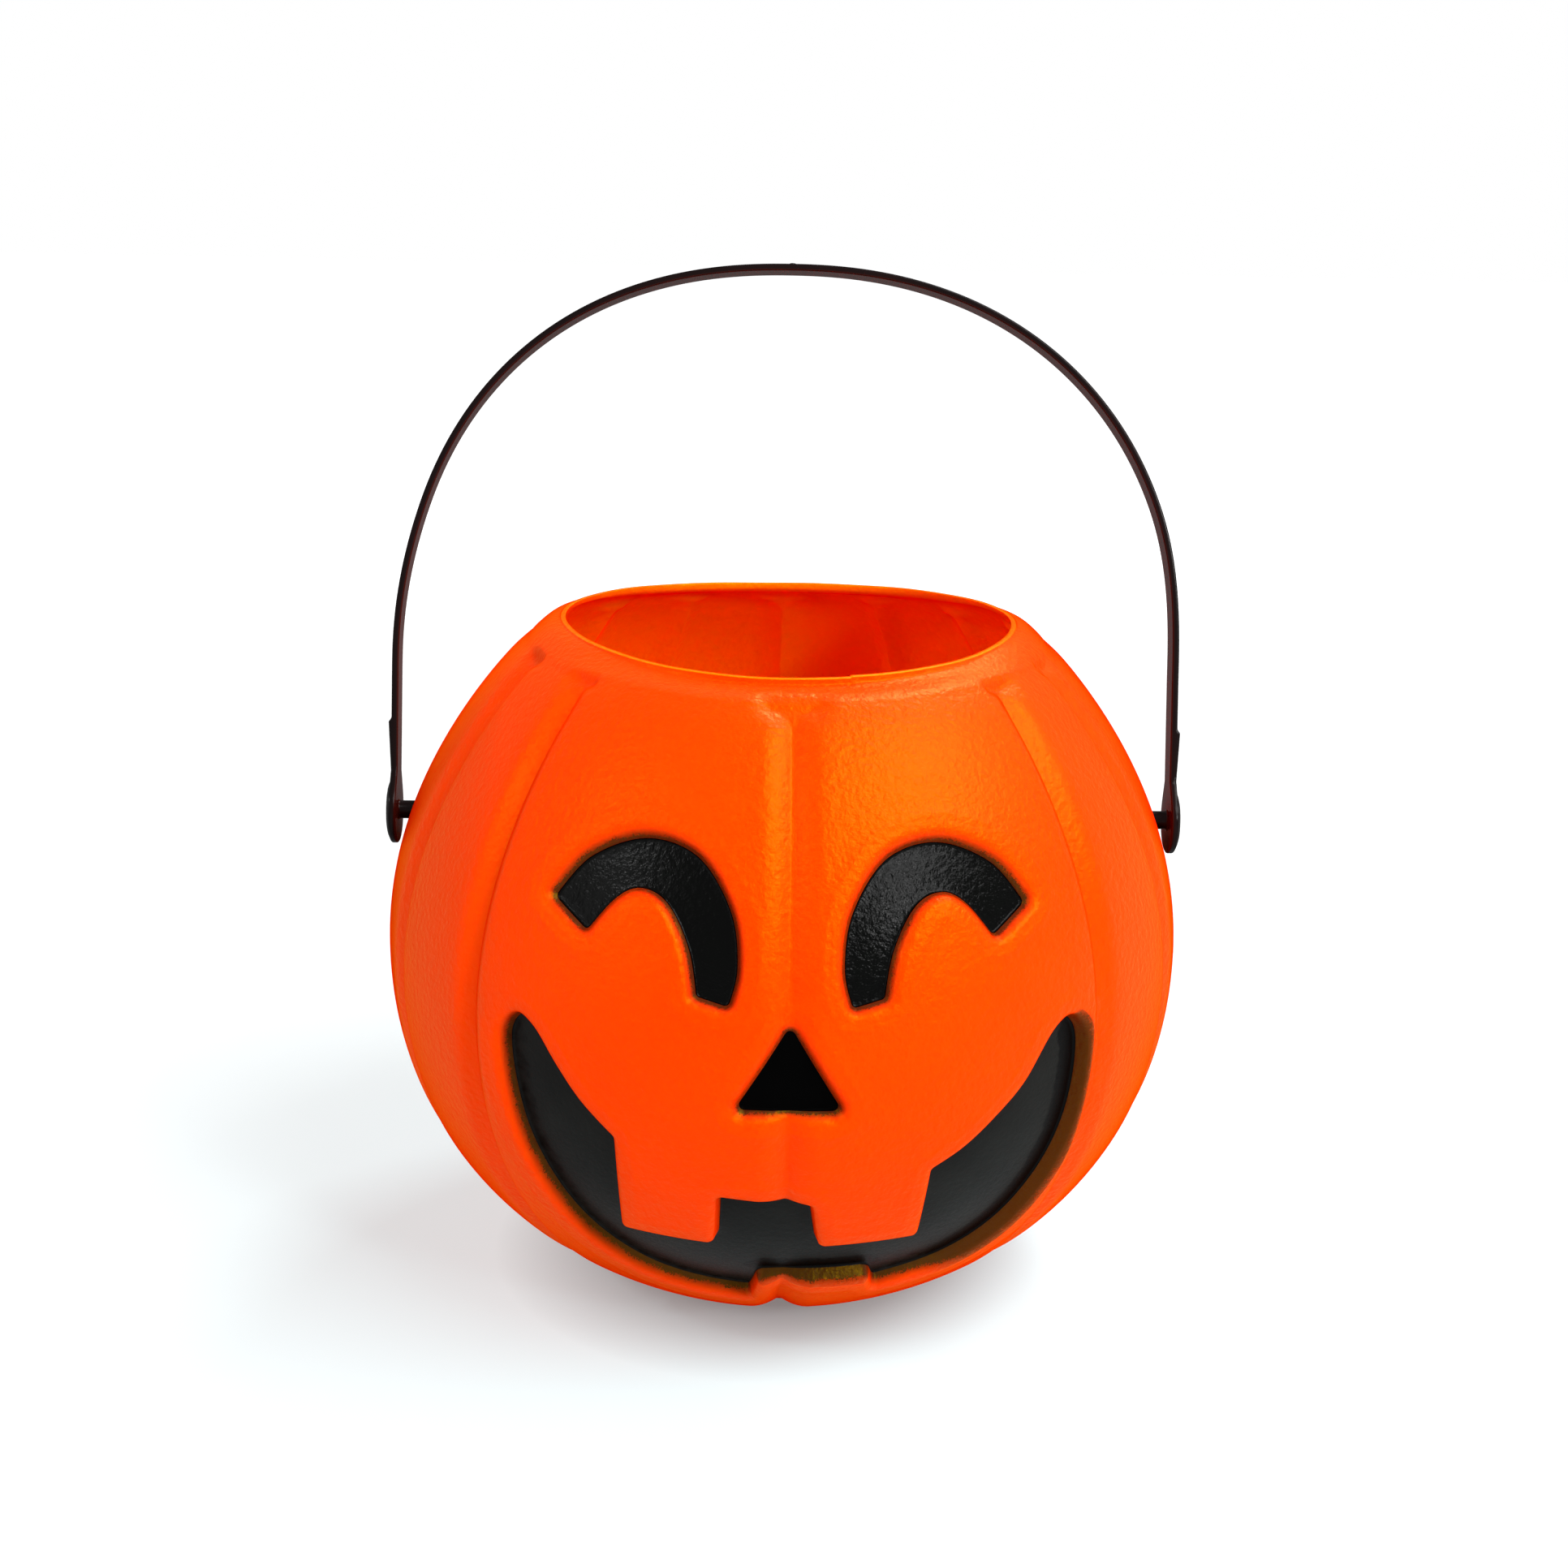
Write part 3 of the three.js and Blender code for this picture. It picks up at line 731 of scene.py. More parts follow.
def inner_sheet(angles):
    rows = BODY.rows(0, RIM_ALONG, lambda along: 1.2 if abs(along - PANEL_TOP) < 10 else 2.6, 0.16)
    sheet = Sheet()
    ids = sheet.grid(angles, rows[1:], near_studs)
    cap(sheet, ids[0], sheet.add(0, 0))
    loops = [stud_loop(sheet, side) for side in (-1, 1)]
    sheet.fill_open(ids, loops, [])
    return sheet, ids[-1], loops


def ripple(x, y, z):
    """The slow unevenness of a blow-moulded wall, none where it stands."""
    wave = np.sin(x / 13 + 1.3) * np.sin(z / 17 + 0.7) + np.sin(y / 15 + 2.1) * np.sin(z / 11 + x / 31)
    return WAVE_HEIGHT * 0.5 * wave * smooth(z / 12) * smooth((COLLAR_HEIGHT + 3 - z) / 12)


def rim_lift(angle, height):
    """How far the uneven trim raises the neck."""
    turn = np.radians(angle)
    lift = -RIM_SADDLE * np.cos(turn) ** 2
    for height_of_wave, count, shift in TRIM_WAVES:
        lift = lift + height_of_wave * np.sin(count * turn + shift)
    past = angle - NICK_ANGLE
    lift = lift + np.where(past > 0, NICK_HEIGHT * smooth(1 - past / NICK_LENGTH), 0)
    return lift * smooth((height - LEDGE_HEIGHT + 0.6) / (RIM_HEIGHT - LEDGE_HEIGHT))


NORMAL_STEP = 0.3


def on_surface(angle, along):
    """Position and outward normal of the panels' surface."""
    radius, height = section(angle, along)
    _, _, out, up = BODY.at(along)
    low = section(angle, along - NORMAL_STEP)
    high = section(angle, along + NORMAL_STEP)
    length = np.hypot(high[0] - low[0], high[1] - low[1])
    above = along > PANEL_TOP - NORMAL_STEP
    out = np.where(above, (high[1] - low[1]) / length, out)
    up = np.where(above, (low[0] - high[0]) / length, up)
    turn = np.radians(angle)
    across, ahead = np.sin(turn), -np.cos(turn)
    position = np.column_stack([radius * across, radius * ahead, height])
    normal = np.column_stack([out * across, out * ahead, up])
    return position, normal


def outer_positions(sheet):
    angle, along = np.array(sheet.angle), np.array(sheet.along)
    feature, distance = np.array(sheet.feature), np.array(sheet.distance)
    position, normal = on_surface(angle, along)
    loose = np.isnan(distance) & (np.abs(angle) < FRONT_ANGLE)
    nearest, gap = nearest_feature(front_view(angle[loose], along[loose]))
    feature[loose], distance[loose] = nearest, gap
    distance = np.where(np.isnan(distance), 1e3, distance)
    sunk = np.zeros(len(angle))
    share = np.zeros(len(angle))
    for index, item in enumerate(FEATURES):
        mine = feature == index
        sunk[mine] = item.sunk(distance[mine])
        share[mine] = sunk[mine] / item.depth
    groove = groove_depth(angle, along)
    turn_to_seam = np.minimum(np.abs(angle), 180 - np.abs(angle))
    off_seam = np.radians(turn_to_seam) * BODY.at(along)[0]
    seam = SEAM_HEIGHT * np.exp(-(off_seam / SEAM_WIDTH) ** 2) * smooth(position[:, 2] / 8)
    seam = seam * smooth((PANEL_TOP - along) / SEAM_FADE_UP)
    swell = SWELL_HEIGHT * np.exp(-((distance - SWELL_DISTANCE) / SWELL_WIDTH) ** 2)
    inward = groove - seam - swell - ripple(*position.T)
    position = position - normal * (inward * (1 - share) + sunk)[:, None]
    position[:, 2] += rim_lift(angle, position[:, 2])
    return position, np.clip(share, 0, 1), np.array(sheet.reach)


def inner_positions(sheet):
    angle, along = np.array(sheet.angle), np.array(sheet.along)
    position, normal = on_surface(angle, along)
    front = np.abs(angle) < LINING_ANGLE
    nearest, gap = nearest_feature(front_view(angle[front], along[front]))
    depths = np.array([feature.depth for feature in FEATURES])
    bulge = np.zeros(len(angle))
    bulge[front] = depths[nearest] * (1 - smooth((gap - WALL) / LINING_SLOPE))
    groove = groove_depth(angle, along, 2)
    inward = WALL + LINING_GROOVE_SHARE * groove * (1 - bulge / depths.max())
    base = smooth((position[:, 2] - 1) / 4)
    from_stud = np.hypot(position[:, 1], position[:, 2] - PIVOT_HEIGHT)
    straight = (1 - smooth((from_stud - STRAIGHT_HOLE) / STRAIGHT_HOLE_FADE))[:, None]
    across = normal * 0
    across[:, 0] = 1 / np.where(np.abs(normal[:, 0]) > 0.5, normal[:, 0], 1)
    direction = normal + (across - normal) * straight
    position = position - direction * (inward + bulge * base)[:, None]
    position[:, 2] += rim_lift(angle, position[:, 2])
    return position


def rim_rings(angles):
    """Rings over the cut edge, from outside to inside."""
    inside = RIM_RADIUS - WALL
    profile = [
        (RIM_RADIUS - 0.03, -0.17), (RIM_RADIUS - 0.12, -0.05), (RIM_RADIUS - 0.32, 0),
        (RIM_RADIUS - 0.65, 0.02), (inside + 0.2, 0), (inside + 0.05, -0.08),
    ]
    turn = np.radians(np.array(angles))
    rings = []
    for radius, rise in profile:
        height = section(np.array(angles), np.full(len(angles), RIM_ALONG))[1] + RIM_ROUND + rise
        height = height + rim_lift(np.array(angles), height)
        rings.append(np.column_stack([radius * np.sin(turn), -radius * np.cos(turn), height]))
    return rings


def bridge(first, second):
    """Quads between two closed rings of points."""
    count = len(first)
    return [(first[i], first[(i + 1) % count], second[(i + 1) % count], second[i]) for i in range(count)]


def build_shell():
    angles = column_angles(FINE_OFFSETS, PANEL_STEP)
    outer, outer_top, outer_loops = outer_sheet(angles)
    inner, inner_top, inner_loops = inner_sheet(angles)
    outside, spray, reach = outer_positions(outer)
    inside = inner_positions(inner)
    rings = rim_rings(angles)
    inner_start = len(outside)
    rim_start = inner_start + len(inside)
    count = len(angles)
    faces = list(outer.faces) + [tuple(inner_start + i for i in face) for face in inner.faces]
    tops = [list(outer_top)]
    for first in range(rim_start, rim_start + len(rings) * count, count):
        tops.append(list(range(first, first + count)))
    tops.append([inner_start + i for i in inner_top])
    for low, high in zip(tops, tops[1:]):
        faces += bridge(low, high)
    for out, into in zip(outer_loops, inner_loops):
        faces += bridge(out, [inner_start + i for i in into])
    positions = np.vstack([outside, inside] + rings)
    faces = [tuple(int(i) for i in face) for face in faces]
    shell = make_object("shell", positions, faces)
    finish_mesh(shell, 60)
    add_attribute(shell, "sunk", spray)
    add_attribute(shell, "reach", reach)
    add_attribute(shell, "inside", np.arange(len(positions)) >= inner_start)
    return shell, outer


def add_attribute(piece, name, values):
    attribute = piece.data.attributes.new(name, "FLOAT", "POINT")
    full = np.zeros(len(piece.data.vertices), np.float32)
    full[:len(values)] = values
    attribute.data.foreach_set("value", full)


def build_paint(shell, outer, index, feature):
    """A thin film on a feature's floor that reaches up its fillet."""
    mine = np.array(outer.feature) == index
    distance = np.nan_to_num(np.array(outer.distance), nan=1e3)
    covered = mine & (distance <= -feature.draft + 1e-6)
    faces = [face for face in outer.faces if all(covered[i] for i in face)]
    used = sorted({int(i) for face in faces for i in face})
    renumber = {old: new for new, old in enumerate(used)}
    normals = np.array([shell.data.vertices[i].normal for i in used])
    places = np.array([shell.data.vertices[i].co for i in used]) / MM
    count = len(used)
    top = [tuple(renumber[int(i)] for i in face) for face in faces]
    under = [tuple(count + i for i in reversed(face)) for face in top]
    edges = {}
    for face in top:
        for a, b in zip(face, face[1:] + face[:1]):
            edges[a, b] = edges.get((a, b), 0) + 1
    rim = [(a, b) for a, b in edges if (b, a) not in edges]
    sides = [(b, a, count + a, count + b) for a, b in rim]
    positions = np.vstack([places + normals * PAINT_LIFT, places - normals * PAINT_SINK])
    paint = make_object(feature.name + "_film", positions, top + under + sides)
    finish_mesh(paint, 60)
    # Painted shade: near the outline, by the walls' dust amounts, the film gets a blacker band for the
    # shade beside the walls.
    flat = front_view(np.array(outer.angle)[used], np.array(outer.along)[used])
    gaps = np.hypot(*(flat[:, None] - feature.outline[None]).transpose(2, 0, 1))
    fade = 1 - smooth((gaps.min(axis=1) - SHADE_BAND_WIDTH) / SHADE_BAND_FADE)
    shade_band = overspray_and_shade(feature)[gaps.argmin(axis=1)] * fade
    add_attribute(paint, "shade_band", np.concatenate([shade_band, shade_band]))
    return paint


# Handle


def arch_line():
    """The outer face of the right half of the strap, from the pad's lowest point to the top."""
    reach = BODY.radius_at(PIVOT_HEIGHT - PAD_RADIUS) + PAD_GAP + STRAP_THICKNESS
    turns = np.linspace(0, math.pi / 2, 240)
    across = reach * np.cos(turns) ** (2 / ARCH_POWER)
    up = LEG_LENGTH + (ARCH_RISE - LEG_LENGTH) * np.sin(turns) ** (2 / ARCH_POWER)
    return reach, resample(np.column_stack([across, up]), 2.5)


def end_heights():
    """Heights of the stations from the pad's lowest point to the end of the leg."""
    foot = [-PAD_RADIUS + step for step in (0, 0.02, 0.08, 0.2, 0.4, 0.7, 1.1, 1.6, 2.3, 3.1, 4)]
    pad = list(np.arange(-3.6, SHOULDER_BOTTOM, 0.8))
    taper = list(np.arange(SHOULDER_BOTTOM, SHOULDER_TOP - 2, 1.5))
    step = [SHOULDER_TOP + shift for shift in (-1.4, -1, -0.75, -0.5, -0.25, 0, 0.25, 0.6, 1.2)]
    leg = list(np.arange(SHOULDER_TOP + 3, LEG_LENGTH, 2.5))
    return np.array(foot + pad + taper + step + leg)


HALF_WIDTH = STRAP_WIDTH / 2
TANGENT = math.atan2(SHOULDER_BOTTOM, HALF_WIDTH)
TANGENT -= math.acos(PAD_RADIUS / math.hypot(HALF_WIDTH, SHOULDER_BOTTOM))


def end_outline():
    """The strap's end seen along the stud: a strap that widens to a round pad along straight tangents."""
    turns = np.linspace(TANGENT, -math.pi - TANGENT, 120)
    disc = np.column_stack([PAD_RADIUS * np.cos(turns), PAD_RADIUS * np.sin(turns)])
    far = 2 * ARCH_RISE
    start = [(HALF_WIDTH, far), (HALF_WIDTH, SHOULDER_BOTTOM)]
    return np.vstack([start, disc, mirrored(start[::-1])])


def half_width(height):
    low = PAD_RADIUS * math.sin(TANGENT)
    flare = np.interp(height, [low, SHOULDER_BOTTOM], [PAD_RADIUS * math.cos(TANGENT), HALF_WIDTH])
    disc = np.sqrt(np.maximum(PAD_RADIUS ** 2 - height ** 2, 0))
    return np.where(height < low, disc, flare)


def outer_relief(across, height):
    """How far the outer face stands out past the plain strap."""
    drop = np.interp(height, [SHOULDER_BOTTOM, SHOULDER_TOP - 0.8], [0, SHOULDER_STEP])
    step = drop * (1 - smooth((height - SHOULDER_TOP + 0.8) / 1.0))
    ridge = SHOULDER_RIDGE * np.exp(-((height - SHOULDER_TOP) / RIDGE_WIDTH) ** 2)
    ridge += PAD_RIDGE * np.exp(-((height - PAD_RADIUS - PAD_RIDGE_OUT) / RIDGE_WIDTH) ** 2)
    radius = np.hypot(across, height) / PAD_RADIUS
    pad = PAD_RISE * smooth((1 - radius) * 4) + PAD_DOME * np.clip(1 - radius ** 2, 0, 1)
    return step + ridge + pad


def edge_drop(gap):
    out = np.clip(1 - gap / EDGE_ROUND, 0, 1)
    return EDGE_ROUND * (1 - np.sqrt(1 - out ** 2))


SECTION_POINTS = 17


def strap_mesh():
    reach, arch = arch_line()
    heights = end_heights()
    leg = np.column_stack([np.full(len(heights), reach), heights])
    half = np.vstack([leg, arch])
    line = np.vstack([half, half[-2::-1] * (-1, 1)])
    sway = np.sin(math.pi * np.clip(line[:, 1] / ARCH_RISE, 0, 1))
    line[:, 0] += ARCH_SWAY * (sway * smooth((line[:, 1] - SWAY_START) / SWAY_RUN))
    ends = np.concatenate([heights, np.full(len(arch), 1e3)])
    ends = np.concatenate([ends, ends[-2::-1]])
    along = np.gradient(line, axis=0)
    along /= np.hypot(*along.T)[:, None]
    straight = ends < LEG_LENGTH
    along[straight] = np.sign(line[straight, :1]) * (0, 1)
    outward = np.column_stack([along[:, 1], -along[:, 0]])
    shares = np.sin(np.linspace(-math.pi / 2, math.pi / 2, SECTION_POINTS))
    outline = end_outline()
    rings = []
    for point, normal, height in zip(line, outward, ends):
        width = half_width(height) if height < SHOULDER_BOTTOM else HALF_WIDTH
        across = width * shares
        if height < SHOULDER_BOTTOM:
            gap = -signed_distance(np.column_stack([across, np.full(len(across), height)]), outline)
        else:
            gap = width - np.abs(across)
        drop = edge_drop(np.maximum(gap, 0))
        relief = outer_relief(across, np.full(len(across), height)) if height < 100 else 0
        out = np.concatenate([relief - drop, (-STRAP_THICKNESS + drop)[::-1]])
        sides = np.concatenate([across, across[::-1]])
        rings.append(np.column_stack([point[0] + normal[0] * out, sides, point[1] + normal[1] * out]))
    ids = np.arange(len(rings) * len(rings[0])).reshape(len(rings), -1).tolist()
    faces = [face for low, high in zip(ids, ids[1:]) for face in bridge(low, high)]
    strap = make_object("strap", np.vstack(rings), faces)
    turn_outwards(strap, close=True)
    return strap


def lathe(name, profile, steps=48):
    """A solid turned about the Z axis. The profile's points are radius and height, from axis to axis."""
    turns = np.linspace(0, 2 * math.pi, steps, endpoint=False)
    middle = profile[1:-1]
    positions = [(0, 0, profile[0][1])]
    for radius, height in middle:
        positions += [(radius * math.cos(t), radius * math.sin(t), height) for t in turns]
    positions.append((0, 0, profile[-1][1]))
    faces = []
    last = len(positions) - 1
    for i in range(steps):
        j = (i + 1) % steps
        faces.append((0, 1 + j, 1 + i))
        faces.append((last, last - steps + i, last - steps + j))
        for k in range(len(middle) - 1):
            low, high = 1 + k * steps, 1 + (k + 1) * steps
            faces.append((low + i, low + j, high + j, high + i))
    return make_object(name, positions, faces)


def stud(side, reach):
    face = reach - STRAP_THICKNESS
    height = PIVOT_HEIGHT + SNAP_RADIUS
    radius, _, out, _ = BODY.at(BODY.along_at(height))
    head_back = radius - WALL / out - SNAP_GAP
    tip = head_back - SNAP_LENGTH
    profile = [
        (0, tip), (SNAP_TIP_RADIUS - 0.3, tip), (SNAP_TIP_RADIUS, tip + 0.25),
        (SNAP_RADIUS - 0.1, head_back - SNAP_COLLAR), (SNAP_RADIUS, head_back - SNAP_COLLAR + 0.25),
        (SNAP_RADIUS, head_back - 0.15), (SNAP_RADIUS - 0.15, head_back), (STUD_RADIUS + 0.1, head_back),
        (STUD_RADIUS, head_back + 0.1), (STUD_RADIUS, face - 0.5), (STUD_RADIUS + 0.15, face - 0.12),
        (STUD_RADIUS + 0.55, face + 0.02), (STUD_RADIUS + 0.4, face + 0.6), (0, face + 0.6),
    ]
    piece = lathe("stud", profile)
    turn = Matrix.Rotation(side * math.pi / 2, 4, "Y")
    piece.data.transform(turn)
    return piece


def gate_mark():
    """The stub that is left where the moulding was cut from its sprue."""
    top = ARCH_RISE + GATE_HEIGHT
    profile = [
        (0, ARCH_RISE - 1), (GATE_RADIUS + 0.35, ARCH_RISE - 0.9), (GATE_RADIUS + 0.3, ARCH_RISE - 0.02),
        (GATE_RADIUS, ARCH_RISE + 0.15), (GATE_TIP_RADIUS, top - 0.12), (GATE_TIP_RADIUS - 0.15, top),
        (0, top),
    ]
    return lathe("gate_mark", profile, 32)


def unite(whole, parts):
    for part in parts:
        turn_outwards(part)
        modifier = whole.modifiers.new("unite", "BOOLEAN")
        modifier.operation = "UNION"
        modifier.solver = "EXACT"
        modifier.object = part
    depsgraph = bpy.context.evaluated_depsgraph_get()
    mesh = bpy.data.meshes.new_from_object(whole.evaluated_get(depsgraph))
    whole.modifiers.clear()
    whole.data = mesh
    for part in parts:
        bpy.data.objects.remove(part)


def build_handle():
    reach, _ = arch_line()
    strap = strap_mesh()
    unite(strap, [stud(-1, reach), stud(1, reach), gate_mark()])
    places = np.array([vertex.co for vertex in strap.data.vertices]) / MM
    normals = np.array([vertex.normal for vertex in strap.data.vertices])
    middle = np.column_stack([-places[:, 0], 0 * places[:, 0], np.minimum(LEG_LENGTH - places[:, 2], 0)])
    middle /= np.linalg.norm(middle, axis=1)[:, None]
    # Marks the strap's inner face, which the material paints brown for light shining through it.
    add_attribute(strap, "inward", smooth(np.sum(middle * normals, axis=1)))
    place = Matrix.Translation((0, 0, PIVOT_HEIGHT * MM)) @ Matrix.Rotation(-LEAN, 4, "X")
    strap.data.transform(place)
    finish_mesh(strap, 35)
    strap.name = "strap_handle"
    return strap


# Materials


class Tree:
    """The nodes of one material or of the world."""

    def __init__(self, owner):
        self.owner = owner
        owner.use_nodes = True
        self.nodes = owner.node_tree.nodes
        self.link = owner.node_tree.links.new

    def feed(self, socket, value):
        """Gives a socket a number, a colour, or another socket's output."""
        if isinstance(value, bpy.types.NodeSocket):
            self.link(value, socket)
        else:
            socket.default_value = value

    def set(self, node, **values):
        """Feeds the sockets of a node. An underscore in a name stands for a space."""
        for name, value in values.items():
            self.feed(node.inputs[name.replace("_", " ")], value)

    def add(self, kind, **values):
        node = self.nodes.new("ShaderNode" + kind)
        self.set(node, **values)
        return node

    def noise(self, scale, detail=2.0, roughness=0.5):
        """Noise in the object's own space. The scale is in waves a metre."""
        place = self.add("TexCoord").outputs["Object"]
        texture = self.add("TexNoise", Scale=scale, Detail=detail, Roughness=roughness, Vector=place)
        return texture.outputs["Fac"]

    def range(self, value, low, high, to_low, to_high):
        node = self.add("MapRange", From_Min=low, From_Max=high, To_Min=to_low, To_Max=to_high, Value=value)
        return node.outputs["Result"]

    def vary(self, noise, low, high):
        """Spreads the middle of a noise over a range."""
        return self.range(noise, NOISE_LOW, NOISE_HIGH, low, high)

    def math(self, operation, first, second):
        node = self.add("Math")
        node.operation = operation
        self.feed(node.inputs[0], first)
        self.feed(node.inputs[1], second)
        return node.outputs["Value"]

    def mix(self, factor, first, second):
        node = self.add("Mix")
        node.data_type = "RGBA"
        self.feed(node.inputs["Factor"], factor)
        for socket, colour in zip((node.inputs[6], node.inputs[7]), (first, second)):
            self.feed(socket, (*colour, 1) if isinstance(colour, tuple) else colour)
        return node.outputs[2]

    def bump(self, height, distance, strength, *normal):
        node = self.add("Bump", Distance=distance * MM, Strength=strength, Height=height)
        for below in normal:
            self.set(node, Normal=below)
        return node.outputs["Normal"]

    def attribute(self, name):
        node = self.add("Attribute")
        node.attribute_name = name
        return node.outputs["Fac"]

    def seen_directly(self):
        """One for rays from the camera, and for reflections and what is seen through glass."""
        path = self.add("LightPath").outputs
        direct = self.math("MAXIMUM", path["Is Camera Ray"], path["Is Glossy Ray"])
        return self.math("MAXIMUM", direct, path["Is Transmission Ray"])


def new_material(name):
    tree = Tree(bpy.data.materials.new(name))
    return tree, tree.nodes["Principled BSDF"]


NOISE_LOW = 0.3
NOISE_HIGH = 0.7
DUST_AND_SHADE_REACH = 0.92


def orange_plastic():
    """Satin polyethylene. The walls of the sunk face darken with the paint's overspray and with painted
    shade, the more the deeper they go; the inner wall is painted paler, for light that shines through it.
    """
    tree, shader = new_material("orange_plastic")
    drift = tree.noise(22)
    pigment = tree.mix(tree.vary(drift, 0, 1), (1.0, 0.045, 0.0), (0.98, 0.051, 0.0))
    # Painted light: the inner wall is paler, for light that shines through the thin wall.
    pigment = tree.mix(tree.attribute("inside"), pigment, (1.0, 0.2, 0.0))
    speckle = tree.noise(2600)
    patch = tree.noise(260)
    sunk = tree.attribute("sunk")
    reach = tree.attribute("reach")
    # The walls darken more the deeper they go: the paint's overspray plus painted shade in the recess.
    lifted = tree.math("ADD", sunk, tree.math("MULTIPLY", reach, DUST_AND_SHADE_REACH))
    ragged = tree.math("ADD", lifted, tree.vary(patch, -0.07, 0.07))
    dusted_and_shaded = tree.math("ADD", ragged, tree.vary(speckle, -0.12, 0.12))
    covered = tree.range(dusted_and_shaded, 0.76, 1.0, 0, 1)
    dust_and_shade_haze = tree.range(lifted, 0.5, 1.0, 0, 0.85)
    factor = tree.math("MAXIMUM", covered, dust_and_shade_haze)
    colour = tree.mix(factor, pigment, (0.012, 0.009, 0.008))
    tree.set(shader, Base_Color=colour)
    grain = tree.noise(1700, 3, 0.6)
    peel = tree.noise(640, 3)
    tree.set(shader, Roughness=tree.vary(grain, 0.3, 0.44))
    soft = tree.bump(peel, 0.42, 0.8)
    tree.set(shader, Normal=tree.bump(grain, 0.06, 0.8, soft))
    tree.set(
        shader,
        Sheen_Weight=0.6,
        Sheen_Roughness=0.6,
        Sheen_Tint=(1.0, 0.06, 0.0, 1),
        Specular_IOR_Level=0.3,
        Specular_Tint=(1.0, 0.75, 0.0, 1),
        Coat_Weight=1,
        Coat_IOR=1,
        Coat_Roughness=0.5,
        Coat_Tint=(1.0, 0.85, 0.55, 1),
        Subsurface_Weight=0.5,
        Subsurface_Radius=(1.0, 0.03, 0.01),
        Subsurface_Scale=4 * MM,
    )
    return tree.owner


def black_paint(name, colour, peel_scale, peel_height, roughness, shine):
    """Sprayed paint with an orange-peel skin of its own scale, made blacker in a band beside the walls:
    painted shade.
    """
    tree, shader = new_material(name)
    drift = tree.noise(60)
    lighter = tuple(channel * 1.8 for channel in colour)
    mixed = tree.mix(tree.vary(drift, 0, 1), colour, lighter)
    edge = tree.noise(420, 3)
    shade_band = tree.math("ADD", tree.attribute("shade_band"), tree.vary(edge, -0.15, 0.15))
    # Painted shade: the film is made blacker in the band beside the walls.
    painted_shade = tree.range(shade_band, 0.35, 0.6, 0, 1)
    tree.set(shader, Base_Color=tree.mix(painted_shade, mixed, (0.0002, 0.0002, 0.0002)))
    peel = tree.noise(peel_scale, 3, 0.55)
    fine = tree.noise(peel_scale * 3.3, 2, 0.5)
    tree.set(shader, Roughness=tree.vary(fine, roughness - 0.06, roughness + 0.08))
    soft = tree.bump(peel, peel_height, 0.8)
    tree.set(shader, Normal=tree.bump(fine, peel_height / 4, 0.6, soft))
    tree.set(shader, Specular_IOR_Level=shine)
    return tree.owner


def black_plastic():
    """Smoky black moulding, its inner face painted brown for light that shines through the strap."""
    tree, shader = new_material("black_plastic")
    drift = tree.noise(45)
    colour = tree.mix(tree.range(drift, 0.35, 0.65, 0, 1), (0.003, 0.0015, 0.0015), (0.005, 0.002, 0.002))
    # Painted light: the inner face is brown, for light that shines through the smoky plastic.
    colour = tree.mix(tree.attribute("inward"), colour, (0.035, 0.004, 0.002))
    tree.set(shader, Base_Color=colour)
    grain = tree.noise(900)
    flow = tree.noise(150)
    tree.set(shader, Roughness=tree.vary(grain, 0.22, 0.32))
    soft = tree.bump(flow, 0.06, 0.4)
    normal = tree.bump(grain, 0.01, 0.4, soft)
    tree.set(shader, Normal=normal)
    tree.set(shader, Coat_Normal=normal)
    tree.set(shader, Specular_IOR_Level=0, Coat_Weight=0.12, Coat_Roughness=0.2)
    return tree.owner


# Pieces

ORANGE = orange_plastic()
HANDLE_BLACK = black_plastic()
PAINTS = {
    "eye_left": black_paint("eye_paint", (0.0002, 0.0003, 0.0002), 800, 0.25, 0.14, 0.05),
    "nose": black_paint("nose_paint", (0.0003, 0.0003, 0.0003), 900, 0.05, 0.5, 0.01),
    "mouth": black_paint("mouth_paint", (0.0045, 0.0045, 0.004), 700, 0.1, 0.36, 0.05),
}
PAINTS["eye_right"] = PAINTS["eye_left"]


def dress(piece, material, body, slot, *nodes):
    piece.data.materials.clear()
    piece.data.materials.append(material)
    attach(piece, body)
    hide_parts(*nodes)


shell, outer = build_shell()
dress(shell, ORANGE, "bucket", "orange_plastic", "bucket_shell")
for index, feature in enumerate(FEATURES):
    film = build_paint(shell, outer, index, feature)
    dress(film, PAINTS[feature.name], "bucket", "black_paint", feature.name + "_paint")
handle = build_handle()
dress(handle, HANDLE_BLACK, "handle", "black_plastic", "handle")


# Camera: the place from which the photograph was taken, found from the silhouette and the rim

camera = place_object("camera", bpy.data.cameras.new("camera"))
RIGHT = Vector((0.99963513, -0.01774681, 0.02036338))
UP = Vector((-0.01466138, 0.27667727, 0.96085104))
FORWARD = Vector((0.02268613, 0.96079901, -0.27631613))
PLACE = Vector((-13.758, -573.360, 292.522)) * MM
FOCAL_PIXELS = 2895
PHOTO_PIXELS = 1932
turn = Matrix((RIGHT, UP, -FORWARD)).transposed()
camera.matrix_world = Matrix.Translation(PLACE) @ turn.to_4x4()
camera.data.sensor_width = 36
camera.data.lens = 36 * FOCAL_PIXELS / PHOTO_PIXELS
camera.data.clip_start = 0.01
camera.data.clip_end = 50
bpy.context.scene.camera = camera


# Floor, light and background

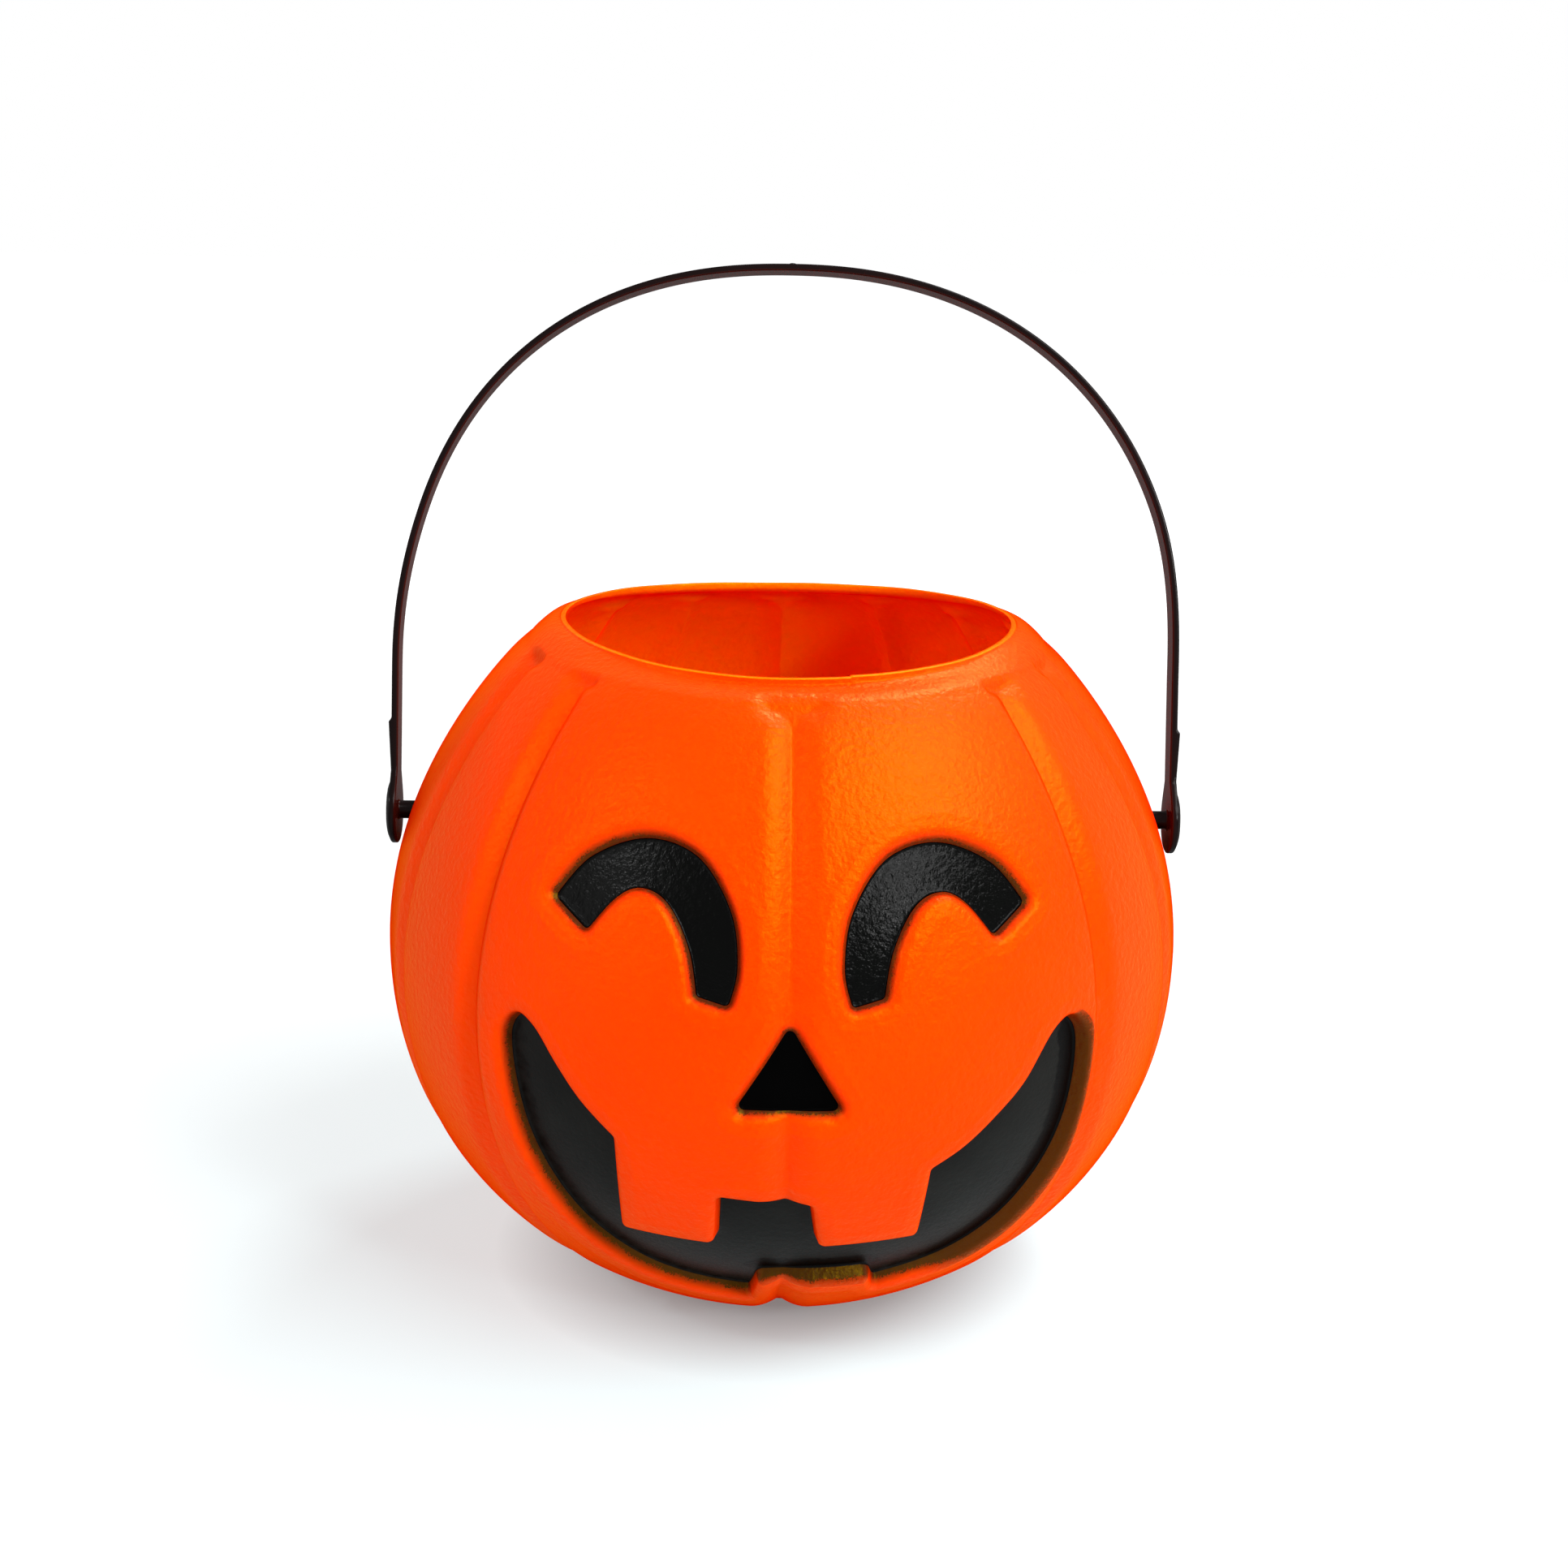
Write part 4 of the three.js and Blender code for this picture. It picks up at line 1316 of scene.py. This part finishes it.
FLOOR_COLOUR = (0.32, 0.32, 0.32)
FLOOR_NEAR = (0.22, 0.32, 0.335)
FLOOR_LIFT = 0.62
FLOOR_CONTACT = 0.2
FLOOR_BOUNCE = 0.6
CONTACT_SHADOW = (0.036, 0.075)
TINTED_FLOOR = (0.05, 0.3)
SHADOW_FADE = (0.4, 0.9)
WORLD_LIGHT = 0.15
LIGHTS_AIM = Vector((0, 0, 0.1))


def build_floor():
    """A white floor that keeps the lights' grey shadow near the object, with a painted contact shadow at
    its base and a cooler tint close by that hides the orange bounce; plain white further away.
    """
    floor = make_object("floor", [(-4000, -4000, 0), (4000, -4000, 0), (4000, 4000, 0), (-4000, 4000, 0)],
                        [(0, 1, 2, 3)])
    tree, shader = new_material("pale_floor")
    tree.nodes.remove(shader)
    place = tree.add("TexCoord").outputs["Object"]
    length = tree.add("VectorMath")
    length.operation = "LENGTH"
    tree.feed(length.inputs[0], place)
    reach = length.outputs["Value"]
    diffuse = tree.add("BsdfDiffuse")
    # Painted cooler close to the object, to hide the orange light that bounces onto the floor.
    warmth = tree.range(reach, *TINTED_FLOOR, 0, 1)
    tree.set(diffuse, Color=tree.mix(warmth, FLOOR_NEAR, FLOOR_COLOUR))
    glow = tree.add("Emission", Color=(1, 1, 1, 1))
    # The glow is dimmer near the base: a painted contact shadow.
    contact = tree.range(reach, *CONTACT_SHADOW, FLOOR_CONTACT, FLOOR_LIFT)
    far = tree.range(reach, *SHADOW_FADE, 0, 1)
    strength = tree.math("MAXIMUM", contact, far)
    seen = tree.range(tree.seen_directly(), 0, 1, FLOOR_BOUNCE, 1)
    tree.set(glow, Strength=tree.math("MULTIPLY", seen, strength))
    both = tree.add("AddShader")
    tree.feed(both.inputs[0], diffuse.outputs[0])
    tree.feed(both.inputs[1], glow.outputs[0])
    tree.set(tree.nodes["Material Output"], Surface=both.outputs[0])
    floor.data.materials.append(tree.owner)


def build_world():
    world = bpy.data.worlds.new("studio")
    bpy.context.scene.world = world
    tree = Tree(world)
    strength = tree.range(tree.seen_directly(), 0, 1, WORLD_LIGHT, 1)
    tree.set(tree.nodes["Background"], Color=(1, 1, 1, 1), Strength=strength)


def add_light(name, place, size, power):
    data = bpy.data.lights.new(name, "AREA")
    data.shape = "RECTANGLE"
    data.size, data.size_y = size
    data.energy = power
    light = place_object(name, data)
    light.location = place
    light.rotation_euler = (LIGHTS_AIM - light.location).to_track_quat("-Z", "Y").to_euler()


build_floor()
build_world()
add_light("key", (0.84, -0.64, 1.27), (1.2, 0.85), 40)
add_light("front", (0.95, -1.3, 0.8), (0.25, 0.25), 10)
add_light("back", (0.5, 0.7, 1.35), (0.5, 0.5), 17)
add_light("left", (-1.35, -0.95, 0.6), (0.8, 1.0), 4)
add_light("left_spark", (-1.1, -0.65, 1.05), (0.16, 0.16), 5)
bpy.context.scene.view_settings.view_transform = "Standard"
